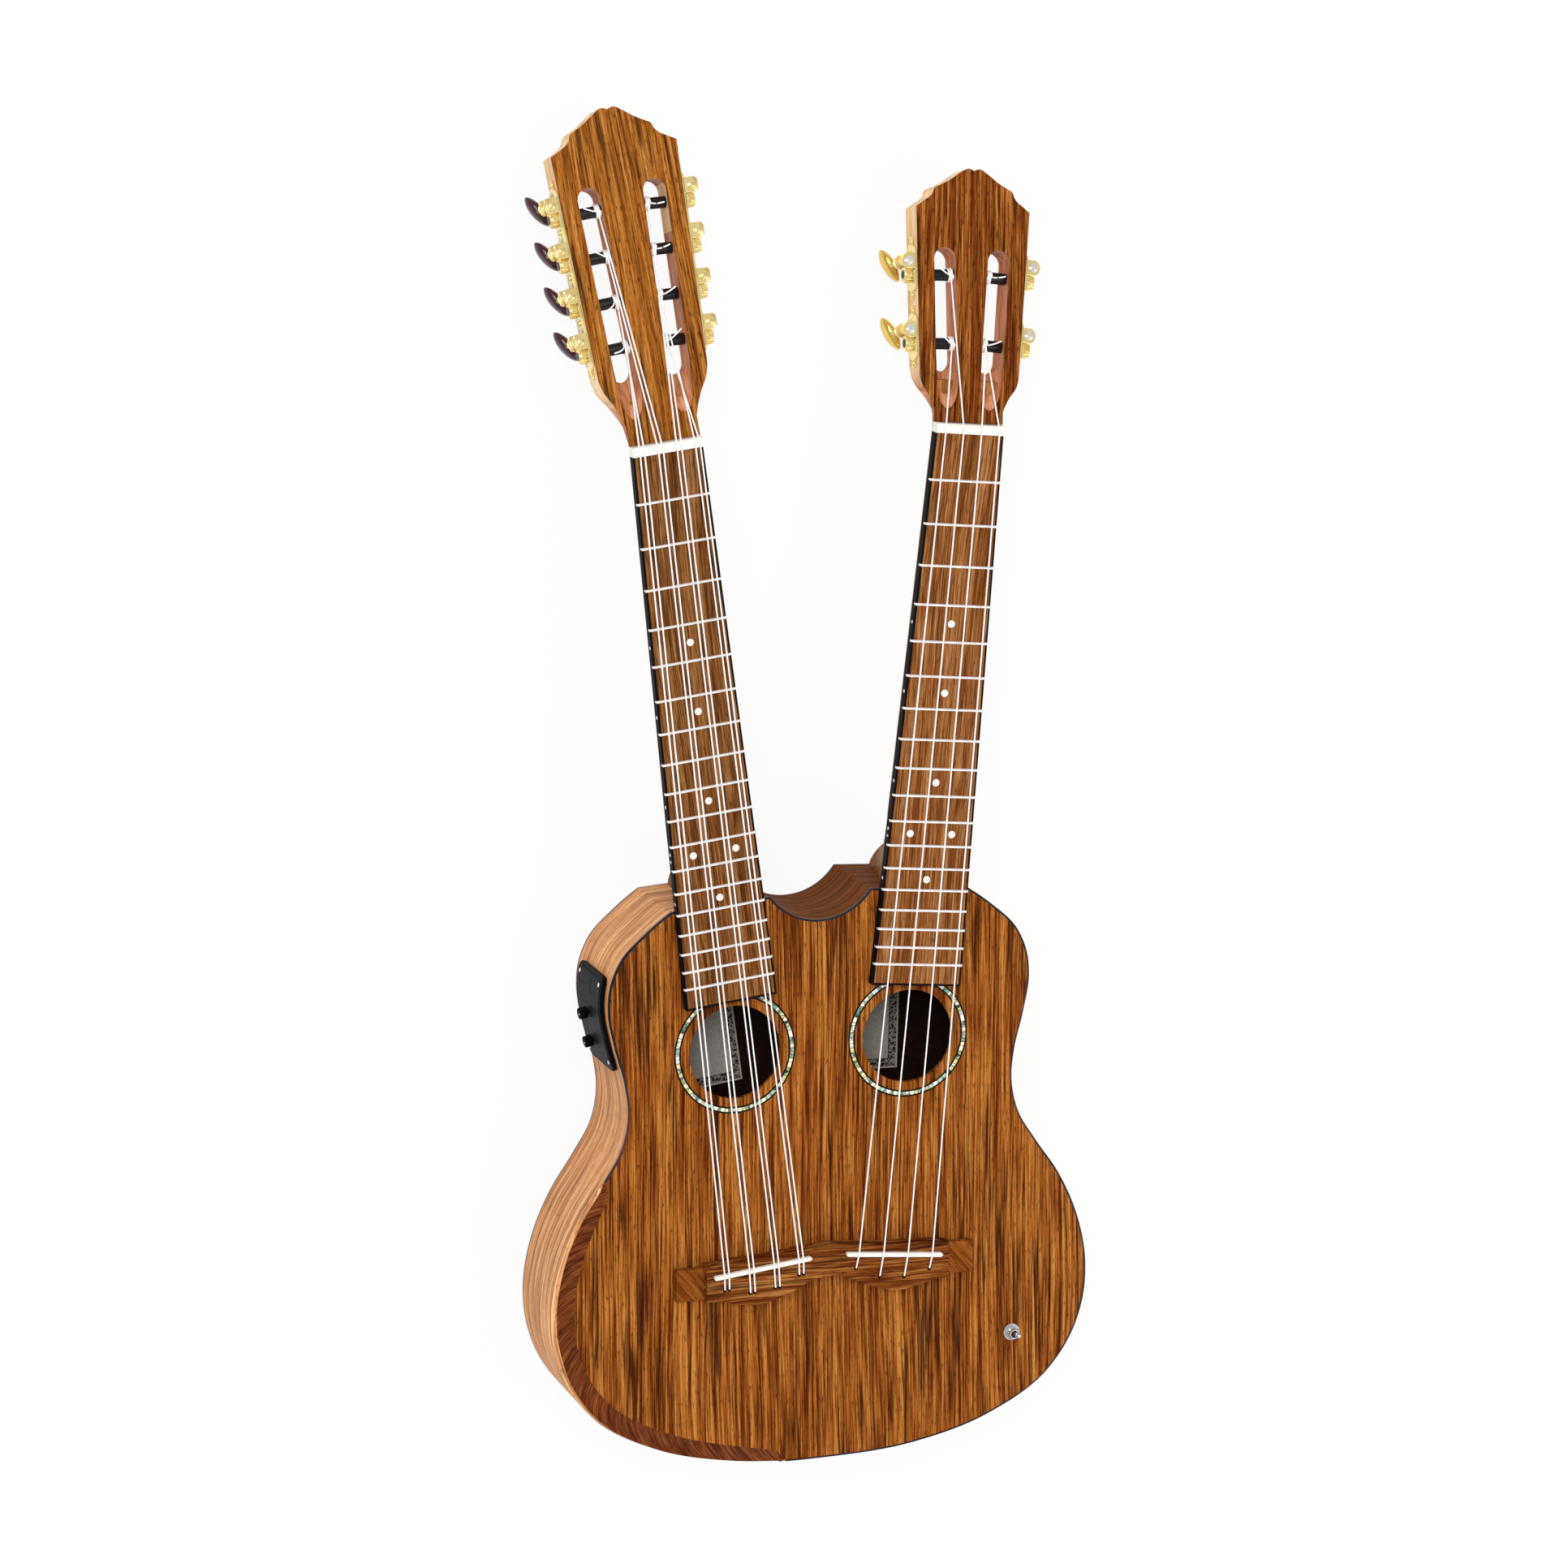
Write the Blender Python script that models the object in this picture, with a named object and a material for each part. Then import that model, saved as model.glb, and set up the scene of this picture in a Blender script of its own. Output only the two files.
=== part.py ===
"""Double-neck ukulele: an eight-string neck and a four-string neck on one hollow body.

It lies on its flat back. +Z points out of the soundboard, +Y points to the headstocks
and +X to the four-string side. The origin is under the middle of the whole instrument,
in the plane of the back. Lengths are in metres and angles in degrees.
"""
import math

import bmesh
import bpy
import numpy as np
from mathutils import Matrix, Vector

# Fits, and how far a cutting shape runs past its piece
GAP = 0.0003
RUN = 0.0003
OUTLINE_STEP = 0.0115
FINE_STEP = 0.004
CUT_MARGIN = 0.010
CUT_REACH = 0.060

# Scale and necks
SCALE_LENGTH = 0.432
FRET_COUNT = 18
NUT_SPREAD = 0.08093
HALF_SPLAY = 6.01
NECK_LENGTH = 0.2360
NUT_WIDTH = 0.0374
NUT_LENGTH = 0.0055
NUT_STAND = 0.0013
NUT_FLAT = 0.0028
NUT_FALL = 0.0012
NUT_OVERHANG = 0.0002
BOARD_THICK = 0.0053
BOARD_END_WIDTH = 0.0494
BOARD_OVERHANG = 0.0002
FRET_STAND = 0.0010
FRET_WIDTH = 0.0020
NECK_DEPTH = 0.0120
NECK_DEPTH_GAIN = 0.0023
HEEL_REACH = 0.036
HEEL_FOOT = 0.0093
HEEL_LIFT = 0.0018

# Body
BODY_DEPTH = 0.060
BODY_LENGTH = 0.3078
BODY_HALF_WIDTH = 0.1479
SOUNDBOARD_THICK = 0.0025
BACK_THICK = 0.0025
SIDE_THICK = 0.0024
LINING_WIDTH = 0.0065
LINING_HEIGHT = 0.009
LINING_SLOPE = 0.004
SCOOP_WIDTH = 0.0548
SCOOP_DEPTH = 0.0143
SHOULDER_X = 0.081
SHOULDER_DROP = 0.0037
HOLE_RADIUS = 0.02484
HOLE_FROM_NUT = 0.31878
BOARD_TO_HOLE = 0.0034
BRACE_WIDTH = 0.007
BRACE_HEIGHT = 0.009
BRACE_SINK = 0.001
BRACE_CLEAR = 0.004
BRACE_BELOW_SADDLE = 0.0350
BLOCK_WIDTH = 0.150
BLOCK_LENGTH = 0.030
TAIL_BLOCK_WIDTH = 0.070
TAIL_BLOCK_LENGTH = 0.026

# The right-hand side of the body seen from the front, from the shoulder to the tail:
# distance from the middle as a share of half the width, and distance below the neck end
# as a share of the length. The upper bout, the waist and the lower bout are in it.
BODY_SIDE_SHARES = (
    (0.645, 0.047), (0.730, 0.087), (0.774, 0.135), (0.782, 0.175),
    (0.759, 0.240), (0.725, 0.305), (0.715, 0.354), (0.741, 0.416),
    (0.805, 0.468), (0.895, 0.533), (0.968, 0.614), (1.000, 0.699),
    (0.991, 0.760), (0.946, 0.825), (0.848, 0.890), (0.623, 0.955),
    (0.338, 0.991),
)

# Arm bevel on the left lower bout, which starts below the body's neck end
BEVEL_START = 0.4711 * BODY_LENGTH
BEVEL_TAIL_X = 0.0240
BEVEL_WIDTH = 0.0115
BEVEL_DROP = 0.0045
BEVEL_FULLNESS = 0.2
BEVEL_THICK = 0.0030
BEVEL_END_SHARE = 0.08
BEVEL_CUT = 0.004

# Bridge
SADDLE_SETBACK = 0.0030
SADDLE_WIDTH = 0.0540
SADDLE_THICK = 0.0026
SADDLE_OUTWARD = 0.0010
BRIDGE_HEIGHT = 0.0085
BRIDGE_WING_HEIGHT = 0.0040
BRIDGE_CENTRE_HALF = 0.067
BRIDGE_HALF = 0.0825
SADDLE_STAND = 0.0024
SADDLE_SLOT_DEPTH = 0.0040
BRIDGE_WING_TOP = 0.0048
BRIDGE_WING_BOTTOM = 0.0152
BRIDGE_WING_CLIP = 0.0024
# The bridge's upper and lower edges, from the middle outwards: distance from the
# middle, and distance below the saddles' outer ends' line
BRIDGE_UPPER = ((0.0, -0.0116), (0.016, -0.0101), (0.035, -0.0084), (0.052, -0.0077))
BRIDGE_LOWER = (
    (0.0, 0.0054), (0.0095, 0.0068), (0.0190, 0.0115), (0.0285, 0.0151),
    (0.0385, 0.0171), (0.0490, 0.0159), (0.0580, 0.0137),
)
STRING_HOLE_SETBACK = (0.0073, 0.0116, 0.0116, 0.0073)
STRING_HOLE_RADIUS = 0.0008

# Strings
STRING_RADIUS = 0.00035
COURSES = 4
PAIR_GAP = 0.0025
NUT_SPACING = 0.0098
SADDLE_SPACING = 0.0137
NUT_STRING_SHIFT = 0.0005
KNOT_RADIUS = 0.0022
KNOT_DROP = 0.0040
KNOT_END_RADIUS = 0.0012
KNOT_HALF_LENGTH = 0.0015
STRING_EASE = 0.0006
STRING_ATTACH = 0.0024

# Headstocks
HEAD_TILT = 12.0
HEAD_FACE_RISE = 0.0021
HEAD_THICK = 0.0165
SLOT_INSET = 0.0150
SLOT_WIDTH = 0.0122
RAMP_FALL = 24.0
RAMP_FIT = 0.96
RAMP_LENGTH = 0.0160
RAMP_TO_SLOT = 0.0130
THROAT_DEPTH = 0.0015
THROAT_LENGTH = 0.0290
ROOT_LENGTH = 0.0260
ROOT_RISE = 0.0030
ROOT_TOP_DROP = 0.0020
ROOT_INSET = 0.0008
HEADS = {
    "left": {
        "tip": 0.1699, "corner_x": 0.0332, "low_x": 0.0289, "low_s": 0.0337,
        "slot": (0.0320, 0.1308), "posts": (0.0491, 0.0723, 0.0955, 0.1187),
    },
    "right": {
        "tip": 0.1307, "corner_x": 0.0310, "low_x": 0.0270, "low_s": 0.0220,
        "slot": (0.0260, 0.0890), "posts": (0.0399, 0.0751),
    },
}
CORNER_DROP = 0.0208
# The crown of a headstock: distance from its middle, and distance below its tip
CROWN = (
    (0.0262, 0.0171), (0.0226, 0.0139), (0.0212, 0.0107), (0.0184, 0.0092),
    (0.0130, 0.0062), (0.0070, 0.0020), (0.0031, 0.0000), (0.0012, 0.0004),
    (0.0000, 0.0012),
)

# Tuning machines
POST_DEPTH = 0.0058
POST_RADIUS = 0.0030
POST_WEB = 0.0035
POST_SHOULDER = 0.0010
POST_TAPER = 0.0006
SHAFT_RADIUS = 0.0022
COG_RADIUS = 0.0043
COG_ROOT = 0.0034
COG_TEETH = 14
COG_LENGTH = 0.0044
COG_STAND = 0.0016
WORM_TO_POST = 0.0070
WORM_RADIUS = 0.0023
WORM_STAND = 0.0045
PLATE_THICK = 0.0010
PLATE_FRONT = -0.0008
PLATE_BACK = -0.0142
PLATE_END = 0.0125
PLATE_TIP_HALF = 0.0022
PLATE_NECK_HALF = 0.0030
PLATE_TIP_LENGTH = 0.0035
PLATE_TAPER_LENGTH = 0.0060
TAB_THICK = 0.0012
TAB_HALF = 0.0040
TAB_REACH = 0.0082
REAR_TAB = -0.0125
SPINDLE_RADIUS = 0.0014
SPINDLE_FRONT = 0.0009
WORM_TAPER = 0.0008
COLLAR_RADIUS = 0.0032
COLLAR_LENGTH = 0.0045
BUTTON_STEM_RADIUS = 0.0017
BUTTON_TIP_HALF_WIDTH = 0.0018
BUTTON_TIP_HALF_THICK = 0.0015
BUTTON_DEPTH = 0.0307
BUTTON_HALF_WIDTH = 0.0095
BUTTON_HALF_THICK = 0.0033
BUTTON_HALF_LENGTH = 0.0052
BUTTON_TURN = 60.0

# Pickup controls
PREAMP_TOP = 0.1218 * BODY_LENGTH
PREAMP_LENGTH = 0.0500
PREAMP_LOW = 0.0095
PREAMP_HIGH = 0.0535
PREAMP_STAND = 0.0028
PREAMP_CORNER = 0.0035
PREAMP_FLANGE = 0.0065
PREAMP_BOX = 0.0220
PREAMP_BOX_CORNER = 0.0010
KNOB_SPINDLE = 0.0012
KNOB_RADIUS = 0.0030
KNOB_LENGTH = 0.0052
KNOB_EDGE = 0.0005
KNOB_SPINDLE_LENGTH = 0.0050
KNOB_PLACES = ((0.0225, 0.0205), (0.0380, 0.0180))
TOGGLE_X = 0.7126 * BODY_HALF_WIDTH
TOGGLE_DROP = 0.8109 * BODY_LENGTH
TOGGLE_BUSH = 0.0030
TOGGLE_BUSH_HEIGHT = 0.0052
TOGGLE_WASHER = 0.0046
TOGGLE_WASHER_HEIGHT = 0.0011
TOGGLE_NUT = 0.0040
TOGGLE_NUT_TURN = 0.3
TOGGLE_NUT_HEIGHT = 0.0032
TOGGLE_PIVOT = 0.0005
TOGGLE_WELL = ((0.0012, -0.0025), (0.0022, 0.0055))
TOGGLE_BALL_DROP = 0.0022
TOGGLE_LEAN = 8.0
TOGGLE_LENGTH = 0.0092
TOGGLE_CAN_LENGTH = 0.013
TOGGLE_CAN_WIDTH = 0.008
TOGGLE_CAN_HEIGHT = 0.011
JACK_RADIUS = 0.0060
JACK_FLANGE = 0.0095
JACK_FLANGE_THICK = 0.0016
JACK_BORE = 0.0033
JACK_SIDES = 32
JACK_END_WALL = 0.0040

# Places that follow from the sizes above
SADDLE_FROM_NUT = SCALE_LENGTH + SADDLE_SETBACK
SADDLE_DROP = SADDLE_FROM_NUT * math.cos(math.radians(HALF_SPLAY)) - NECK_LENGTH
TOP_BRACE_DROPS = {
    "upper": 0.1397 * BODY_LENGTH,
    "waist": 0.3899 * BODY_LENGTH,
    "lower": SADDLE_DROP + BRACE_BELOW_SADDLE,
}
LOWER_BRACE_END = TOGGLE_X - TOGGLE_CAN_WIDTH / 2 - BRACE_CLEAR
BACK_BRACE_DROPS = {
    "upper": 0.1624 * BODY_LENGTH,
    "waist": 0.4200 * BODY_LENGTH,
    "lower": 0.6823 * BODY_LENGTH,
}
FRET_PLANE_Z = BODY_DEPTH + BOARD_THICK + FRET_STAND
HEAD_TIP_REACH = (
    (NUT_LENGTH + HEADS["left"]["tip"] * math.cos(math.radians(HEAD_TILT)))
    * math.cos(math.radians(HALF_SPLAY))
    + CROWN[6][0] * math.sin(math.radians(HALF_SPLAY))
)
TAIL_REACH = NECK_LENGTH + BODY_LENGTH + JACK_FLANGE_THICK
NUT_Y = (TAIL_REACH - HEAD_TIP_REACH) / 2
BODY_END_Y = NUT_Y - NECK_LENGTH
SIDES = {"left": -1, "right": 1}


def material(name, colour, roughness, metallic=0.0):
    """A plain finish: one colour, one roughness, metal or not."""
    finish = bpy.data.materials.new(name)
    finish.use_nodes = True
    shader = finish.node_tree.nodes["Principled BSDF"]
    shader.inputs["Base Color"].default_value = (*colour, 1.0)
    shader.inputs["Roughness"].default_value = roughness
    shader.inputs["Metallic"].default_value = metallic
    return finish


def add(name, verts, faces, finish=None, parent=None, location=(0, 0, 0), rotation=(0, 0, 0)):
    """One named object from points and faces, with its faces turned outwards."""
    mesh = bpy.data.meshes.new(name)
    mesh.from_pydata([tuple(v) for v in verts], [], faces)
    work = bmesh.new()
    work.from_mesh(mesh)
    bmesh.ops.recalc_face_normals(work, faces=work.faces)
    work.to_mesh(mesh)
    work.free()
    obj = bpy.data.objects.new(name, mesh)
    bpy.context.scene.collection.objects.link(obj)
    obj.location = location
    obj.rotation_euler = rotation
    obj.parent = parent
    if finish is not None:
        mesh.materials.append(finish)
    return obj


def smooth(obj, angle=35.0):
    """Round faces shaded smooth, with edges sharper than the angle kept."""
    obj.data.shade_smooth()
    obj.data.set_sharp_from_angle(angle=math.radians(angle))
    return obj


def frame(name, parent=None, location=(0, 0, 0), rotation=(0, 0, 0)):
    """An empty that carries the pieces of one neck, headstock or tuner row."""
    empty = bpy.data.objects.new(name, None)
    bpy.context.scene.collection.objects.link(empty)
    empty.location = location
    empty.rotation_euler = rotation
    empty.parent = parent
    empty.empty_display_size = 0.02
    return empty


def rings(ring_list, closed=False):
    """Points and faces of a skin over rings of equal counts, capped unless it closes on itself."""
    ring_list = [list(map(tuple, ring)) for ring in ring_list]
    count = len(ring_list[0])
    verts = [p for ring in ring_list for p in ring]
    faces = []
    spans = len(ring_list) if closed else len(ring_list) - 1
    for i in range(spans):
        a = i * count
        b = ((i + 1) % len(ring_list)) * count
        for j in range(count):
            k = (j + 1) % count
            faces.append((a + j, a + k, b + k, b + j))
    if not closed:
        faces.append(tuple(range(count))[::-1])
        last = (len(ring_list) - 1) * count
        faces.append(tuple(range(last, last + count)))
    return verts, faces


def prism(outline, low, high):
    """An outline in X and Y, carried straight up from low to high."""
    return rings([[(x, y, z) for x, y in outline] for z in (low, high)])


def box(x0, x1, y0, y1, z0, z1):
    return prism(((x0, y0), (x1, y0), (x1, y1), (x0, y1)), z0, z1)


def circle(radius, count, centre=(0.0, 0.0), start=0.0):
    step = 2 * math.pi / count
    return [
        (
            centre[0] + radius * math.cos(start + i * step),
            centre[1] + radius * math.sin(start + i * step),
        )
        for i in range(count)
    ]


def turned(profile, count, axis="Z"):
    """A profile of (radius, place) pairs turned about an axis, capped at both ends."""
    ring_list = []
    for radius, place in profile:
        points = circle(radius, count)
        if axis == "Z":
            ring_list.append([(x, y, place) for x, y in points])
        elif axis == "X":
            ring_list.append([(place, x, y) for x, y in points])
        else:
            ring_list.append([(y, place, x) for x, y in points])
    return rings(ring_list)


def tool(name, verts, faces, parent=None, location=(0, 0, 0), rotation=(0, 0, 0)):
    """A cutting or joining shape, which isn't a piece of the instrument."""
    obj = add(name, verts, faces, None, parent, location, rotation)
    obj.hide_render = True
    obj.display_type = "WIRE"
    return obj


def boolean(obj, other, operation="DIFFERENCE"):
    step = obj.modifiers.new(other.name, "BOOLEAN")
    step.operation = operation
    step.solver = "EXACT"
    step.object = other
    return obj


def natural_curve(points, spacing):
    """A smooth curve through the points: cubic pieces whose slopes come from the chords."""
    p = np.array(points, float)
    chord = np.linalg.norm(np.diff(p, axis=0), axis=1)
    slope = np.diff(p, axis=0) / chord[:, None]
    tangent = np.empty_like(p)
    tangent[1:-1] = (slope[:-1] * chord[1:, None] + slope[1:] * chord[:-1, None]) / (
        chord[:-1] + chord[1:]
    )[:, None]
    tangent[0] = 2 * slope[0] - tangent[1]
    tangent[-1] = 2 * slope[-1] - tangent[-2]
    out = []
    for i, length in enumerate(chord):
        steps = max(1, round(length / spacing))
        for k in range(steps):
            t = k / steps
            out.append(
                (2 * t**3 - 3 * t**2 + 1) * p[i]
                + (t**3 - 2 * t**2 + t) * length * tangent[i]
                + (3 * t**2 - 2 * t**3) * p[i + 1]
                + (t**3 - t**2) * length * tangent[i + 1]
            )
    out.append(p[-1])
    return np.array(out)


def scoop(count):
    """Half of the cutaway's arc between the necks, from its lowest point to its right corner."""
    half = SCOOP_WIDTH / 2
    radius = (half**2 + SCOOP_DEPTH**2) / (2 * SCOOP_DEPTH)
    reach = math.asin(half / radius)
    angles = np.linspace(0, reach, count)
    return np.stack([radius * np.sin(angles), -SCOOP_DEPTH + radius * (1 - np.cos(angles))], 1)


def half_outline(spacing):
    """The body's right half, from the scoop's lowest point round to the tail."""
    side = [(SHOULDER_X, -SHOULDER_DROP)]
    side += [(x * BODY_HALF_WIDTH, -y * BODY_LENGTH) for x, y in BODY_SIDE_SHARES]
    tail = (0.0, -BODY_LENGTH)
    mirrored = (-side[-1][0], side[-1][1])
    curve = natural_curve(side + [tail, mirrored], spacing)
    curve = curve[: int(np.argmin(np.hypot(curve[:, 0], curve[:, 1] + BODY_LENGTH))) + 1]
    return np.vstack([scoop(6), curve])


def inset(outline, distance):
    """A closed outline moved inwards by the distance, corners kept. It runs clockwise."""
    p = np.array(outline)
    before = np.roll(p, 1, axis=0)
    after = np.roll(p, -1, axis=0)
    d0 = (p - before) / np.linalg.norm(p - before, axis=1)[:, None]
    d1 = (after - p) / np.linalg.norm(after - p, axis=1)[:, None]
    n0 = np.stack([d0[:, 1], -d0[:, 0]], 1)
    n1 = np.stack([d1[:, 1], -d1[:, 0]], 1)
    middle = n0 + n1
    middle /= np.linalg.norm(middle, axis=1)[:, None]
    share = np.clip((middle * n0).sum(1), 0.5, 1.0)
    return p + middle * (distance / share)[:, None]


def body_outline(distance=0.0, spacing=OUTLINE_STEP):
    """The body seen from the front, clockwise, moved inwards by the distance."""
    right = half_outline(spacing)
    left = right[1:-1][::-1] * (-1, 1)
    whole = np.vstack([right, left])
    if distance:
        whole = inset(whole, distance)
    return whole + (0.0, BODY_END_Y)


def body_x(drop):
    """Distance of the body's side from the middle, at a distance below its neck end."""
    curve = half_outline(OUTLINE_STEP)[6:]
    order = np.argsort(-curve[:, 1])
    return float(np.interp(drop, -curve[order, 1], curve[order, 0]))


def neck_point(side, across, along):
    """A point of a neck's own plan, given from its nut, in the body's plan."""
    turn = math.radians(HALF_SPLAY) * -SIDES[side]
    x = SIDES[side] * NUT_SPREAD + across * math.cos(turn) - along * math.sin(turn)
    y = NUT_Y + across * math.sin(turn) + along * math.cos(turn)
    return x, y


def bevel_stations(count=22):
    """Places along the left lower bout, each with the bevel's width and drop there.

    Both follow a half sine of the way along, raised to a small power that makes the ends
    blunt, with a small width left there.
    """
    whole = body_outline(0.0, FINE_STEP)
    inner = inset(whole, 0.001)
    keep = (whole[:, 0] < -BEVEL_TAIL_X) & (whole[:, 1] < BODY_END_Y - BEVEL_START)
    path = whole[keep]
    inward = (inner - whole)[keep] / 0.001
    length = np.concatenate([[0], np.cumsum(np.linalg.norm(np.diff(path, axis=0), axis=1))])
    place = np.linspace(0, length[-1], count)
    out = []
    for s in place:
        point = np.array([np.interp(s, length, path[:, k]) for k in (0, 1)])
        normal = np.array([np.interp(s, length, inward[:, k]) for k in (0, 1)])
        normal /= np.linalg.norm(normal)
        share = math.sin(math.pi * min(max(s / length[-1], 0.0), 1.0)) ** BEVEL_FULLNESS
        out.append((point, normal, BEVEL_END_SHARE + (1 - BEVEL_END_SHARE) * share))
    return out


def bevel_section(point, normal, share, grow):
    """The bevel strip's section: inner top edge, outer edge, and the bed below them."""
    top = BODY_DEPTH
    width = BEVEL_WIDTH * share
    drop = BEVEL_DROP * share
    bed = drop + BEVEL_THICK
    if grow:
        width, low, high = width + GAP, top - bed - GAP, top + BEVEL_CUT
        corners = ((width, high), (-BEVEL_CUT, high), (-BEVEL_CUT, low), (width, low))
    else:
        corners = ((width, top), (0.0, top - drop), (0.0, top - bed), (width, top - bed))
    return [(point[0] + normal[0] * a, point[1] + normal[1] * a, z) for a, z in corners]


def bevel_solid(grow):
    return rings([bevel_section(*station, grow) for station in bevel_stations()])


def make_body(wood):
    """Soundboard, rim, back, blocks and arm bevel."""
    top = BODY_DEPTH
    board = add(
        "soundboard", *prism(body_outline(), top - SOUNDBOARD_THICK, top), wood["top"]
    )
    for side in SIDES:
        centre = neck_point(side, 0.0, -HOLE_FROM_NUT)
        hole = tool(
            f"cut_soundhole_{side}",
            *prism(circle(HOLE_RADIUS, 32, centre), top - CUT_MARGIN, top + CUT_MARGIN),
        )
        boolean(board, hole)
    low = top - SOUNDBOARD_THICK - BRACE_HEIGHT
    inner = LINING_WIDTH + BRACE_CLEAR
    for name, drop in TOP_BRACE_DROPS.items():
        reach = min(body_x(drop - BRACE_WIDTH), body_x(drop + BRACE_WIDTH)) - inner
        if name == "lower":
            reach = LOWER_BRACE_END
        y = BODY_END_Y - drop
        brace = tool(
            f"join_top_brace_{name}",
            *box(-reach, reach, y - BRACE_WIDTH / 2, y + BRACE_WIDTH / 2, low, top - BRACE_SINK),
        )
        boolean(board, brace, "UNION")
    back = add("back_plate", *prism(body_outline(), 0.0, BACK_THICK), wood["top"])
    high = BACK_THICK + BRACE_HEIGHT
    for name, drop in BACK_BRACE_DROPS.items():
        reach = min(body_x(drop - BRACE_WIDTH), body_x(drop + BRACE_WIDTH)) - inner
        y = BODY_END_Y - drop
        brace = tool(
            f"join_back_brace_{name}",
            *box(-reach, reach, y - BRACE_WIDTH / 2, y + BRACE_WIDTH / 2, BRACE_SINK, high),
        )
        boolean(back, brace, "UNION")
    low = BACK_THICK + GAP
    high = top - SOUNDBOARD_THICK - GAP
    profile = (
        (0.0, low), (0.0, high), (LINING_WIDTH, high), (LINING_WIDTH, high - LINING_HEIGHT),
        (SIDE_THICK, high - LINING_HEIGHT - LINING_SLOPE),
        (SIDE_THICK, low + LINING_HEIGHT + LINING_SLOPE),
        (LINING_WIDTH, low + LINING_HEIGHT), (LINING_WIDTH, low),
    )
    levels = [[(x, y, z) for x, y in body_outline(d)] for d, z in profile]
    rim = add("rim", *rings(levels, closed=True), wood["side"])
    for plate in (board, rim):
        cutter = tool(f"cut_bevel_{plate.name}", *bevel_solid(True))
        boolean(plate, cutter)
    add("arm_bevel", *bevel_solid(False), wood["bevel"])
    make_blocks(wood, low, high)
    return board, rim


def make_blocks(wood, low, high):
    """The block that both necks are fixed to, and the block at the tail, cut to fit the rim."""
    tail = BODY_END_Y - BODY_LENGTH
    places = {
        "neck_block": (BLOCK_WIDTH / 2, BODY_END_Y - BLOCK_LENGTH, BODY_END_Y),
        "tail_block": (TAIL_BLOCK_WIDTH / 2, tail, tail + TAIL_BLOCK_LENGTH),
    }
    for name, (half, y0, y1) in places.items():
        block = add(name, *box(-half, half, y0, y1, low, high), wood["pale"])
        cavity = body_outline(LINING_WIDTH + GAP)
        inside = tool(f"trim_{name}", *prism(cavity, low - CUT_MARGIN, high + CUT_MARGIN))
        boolean(block, inside, "INTERSECT")
    bore = tool("cut_jack_block", *jack_bore(), None, (0, tail, BODY_DEPTH / 2))
    boolean(block, bore)


def jack_bore():
    """The hole for the output socket, through the rim and the tail block."""
    ends = (-CUT_MARGIN, TAIL_BLOCK_LENGTH + CUT_MARGIN)
    return turned([(JACK_RADIUS + GAP, place) for place in ends], JACK_SIDES, "Y")


def board_half_width(along):
    """Half of the fretboard's width at a distance below the nut."""
    length = HOLE_FROM_NUT - HOLE_RADIUS - BOARD_TO_HOLE
    return NUT_WIDTH / 2 + (BOARD_END_WIDTH - NUT_WIDTH) / 2 * along / length


def head_half_outline(head):
    """Right half of a headstock in its own plane, from the nut to the crown's notch."""
    corner_s = head["tip"] - CORNER_DROP
    neck_half = NUT_WIDTH / 2
    low_x, low_s = head["low_x"], head["low_s"]
    flare = [(neck_half, -0.004), (neck_half, low_s * 0.30)]
    bow = natural_curve(
        [
            (neck_half, low_s * 0.30),
            (neck_half + (low_x - neck_half) * 0.40, low_s * 0.62),
            (neck_half + (low_x - neck_half) * 0.86, low_s * 0.88),
            (low_x, low_s + 0.002),
        ],
        FINE_STEP,
    )
    flare += [tuple(p) for p in bow[1:]]
    crown = [(x, head["tip"] - drop) for x, drop in CROWN]
    return flare + [(head["corner_x"], corner_s)] + crown


def head_side_x(head, s):
    """Distance of a headstock's straight side from its middle."""
    corner_s = head["tip"] - CORNER_DROP
    share = (s - head["low_s"]) / (corner_s - head["low_s"])
    return head["low_x"] + (head["corner_x"] - head["low_x"]) * share


def side_turn(head):
    """The angle, in radians, between a headstock's straight side and its middle line."""
    return math.atan2(head["corner_x"] - head["low_x"], head["tip"] - CORNER_DROP - head["low_s"])


def neck_section(half, depth, y, heel, top=0.0):
    """A neck's section, flat on top, heel running from 0 to 1.

    At 0 the back is round. At 1 the cheeks draw in to a narrow flat foot.
    """
    round_back = [(math.cos(a) ** 1.3, math.sin(a) ** 0.95) for a in np.linspace(0, 1.45, 6)]
    foot = HEEL_FOOT / half
    cheeks = [(foot + (1 - foot) * (1 - d) ** 1.55, d) for d in (0.0, 0.17, 0.38, 0.62, 0.86, 1.0)]
    side = []
    for (x0, d0), (x1, d1) in zip(round_back, cheeks):
        x = x0 + (x1 - x0) * heel
        side.append((half * x, y, top - depth * (d0 + (d1 - d0) * heel)))
    return side + [(-x, y, z) for x, y, z in side[::-1]]


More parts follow.
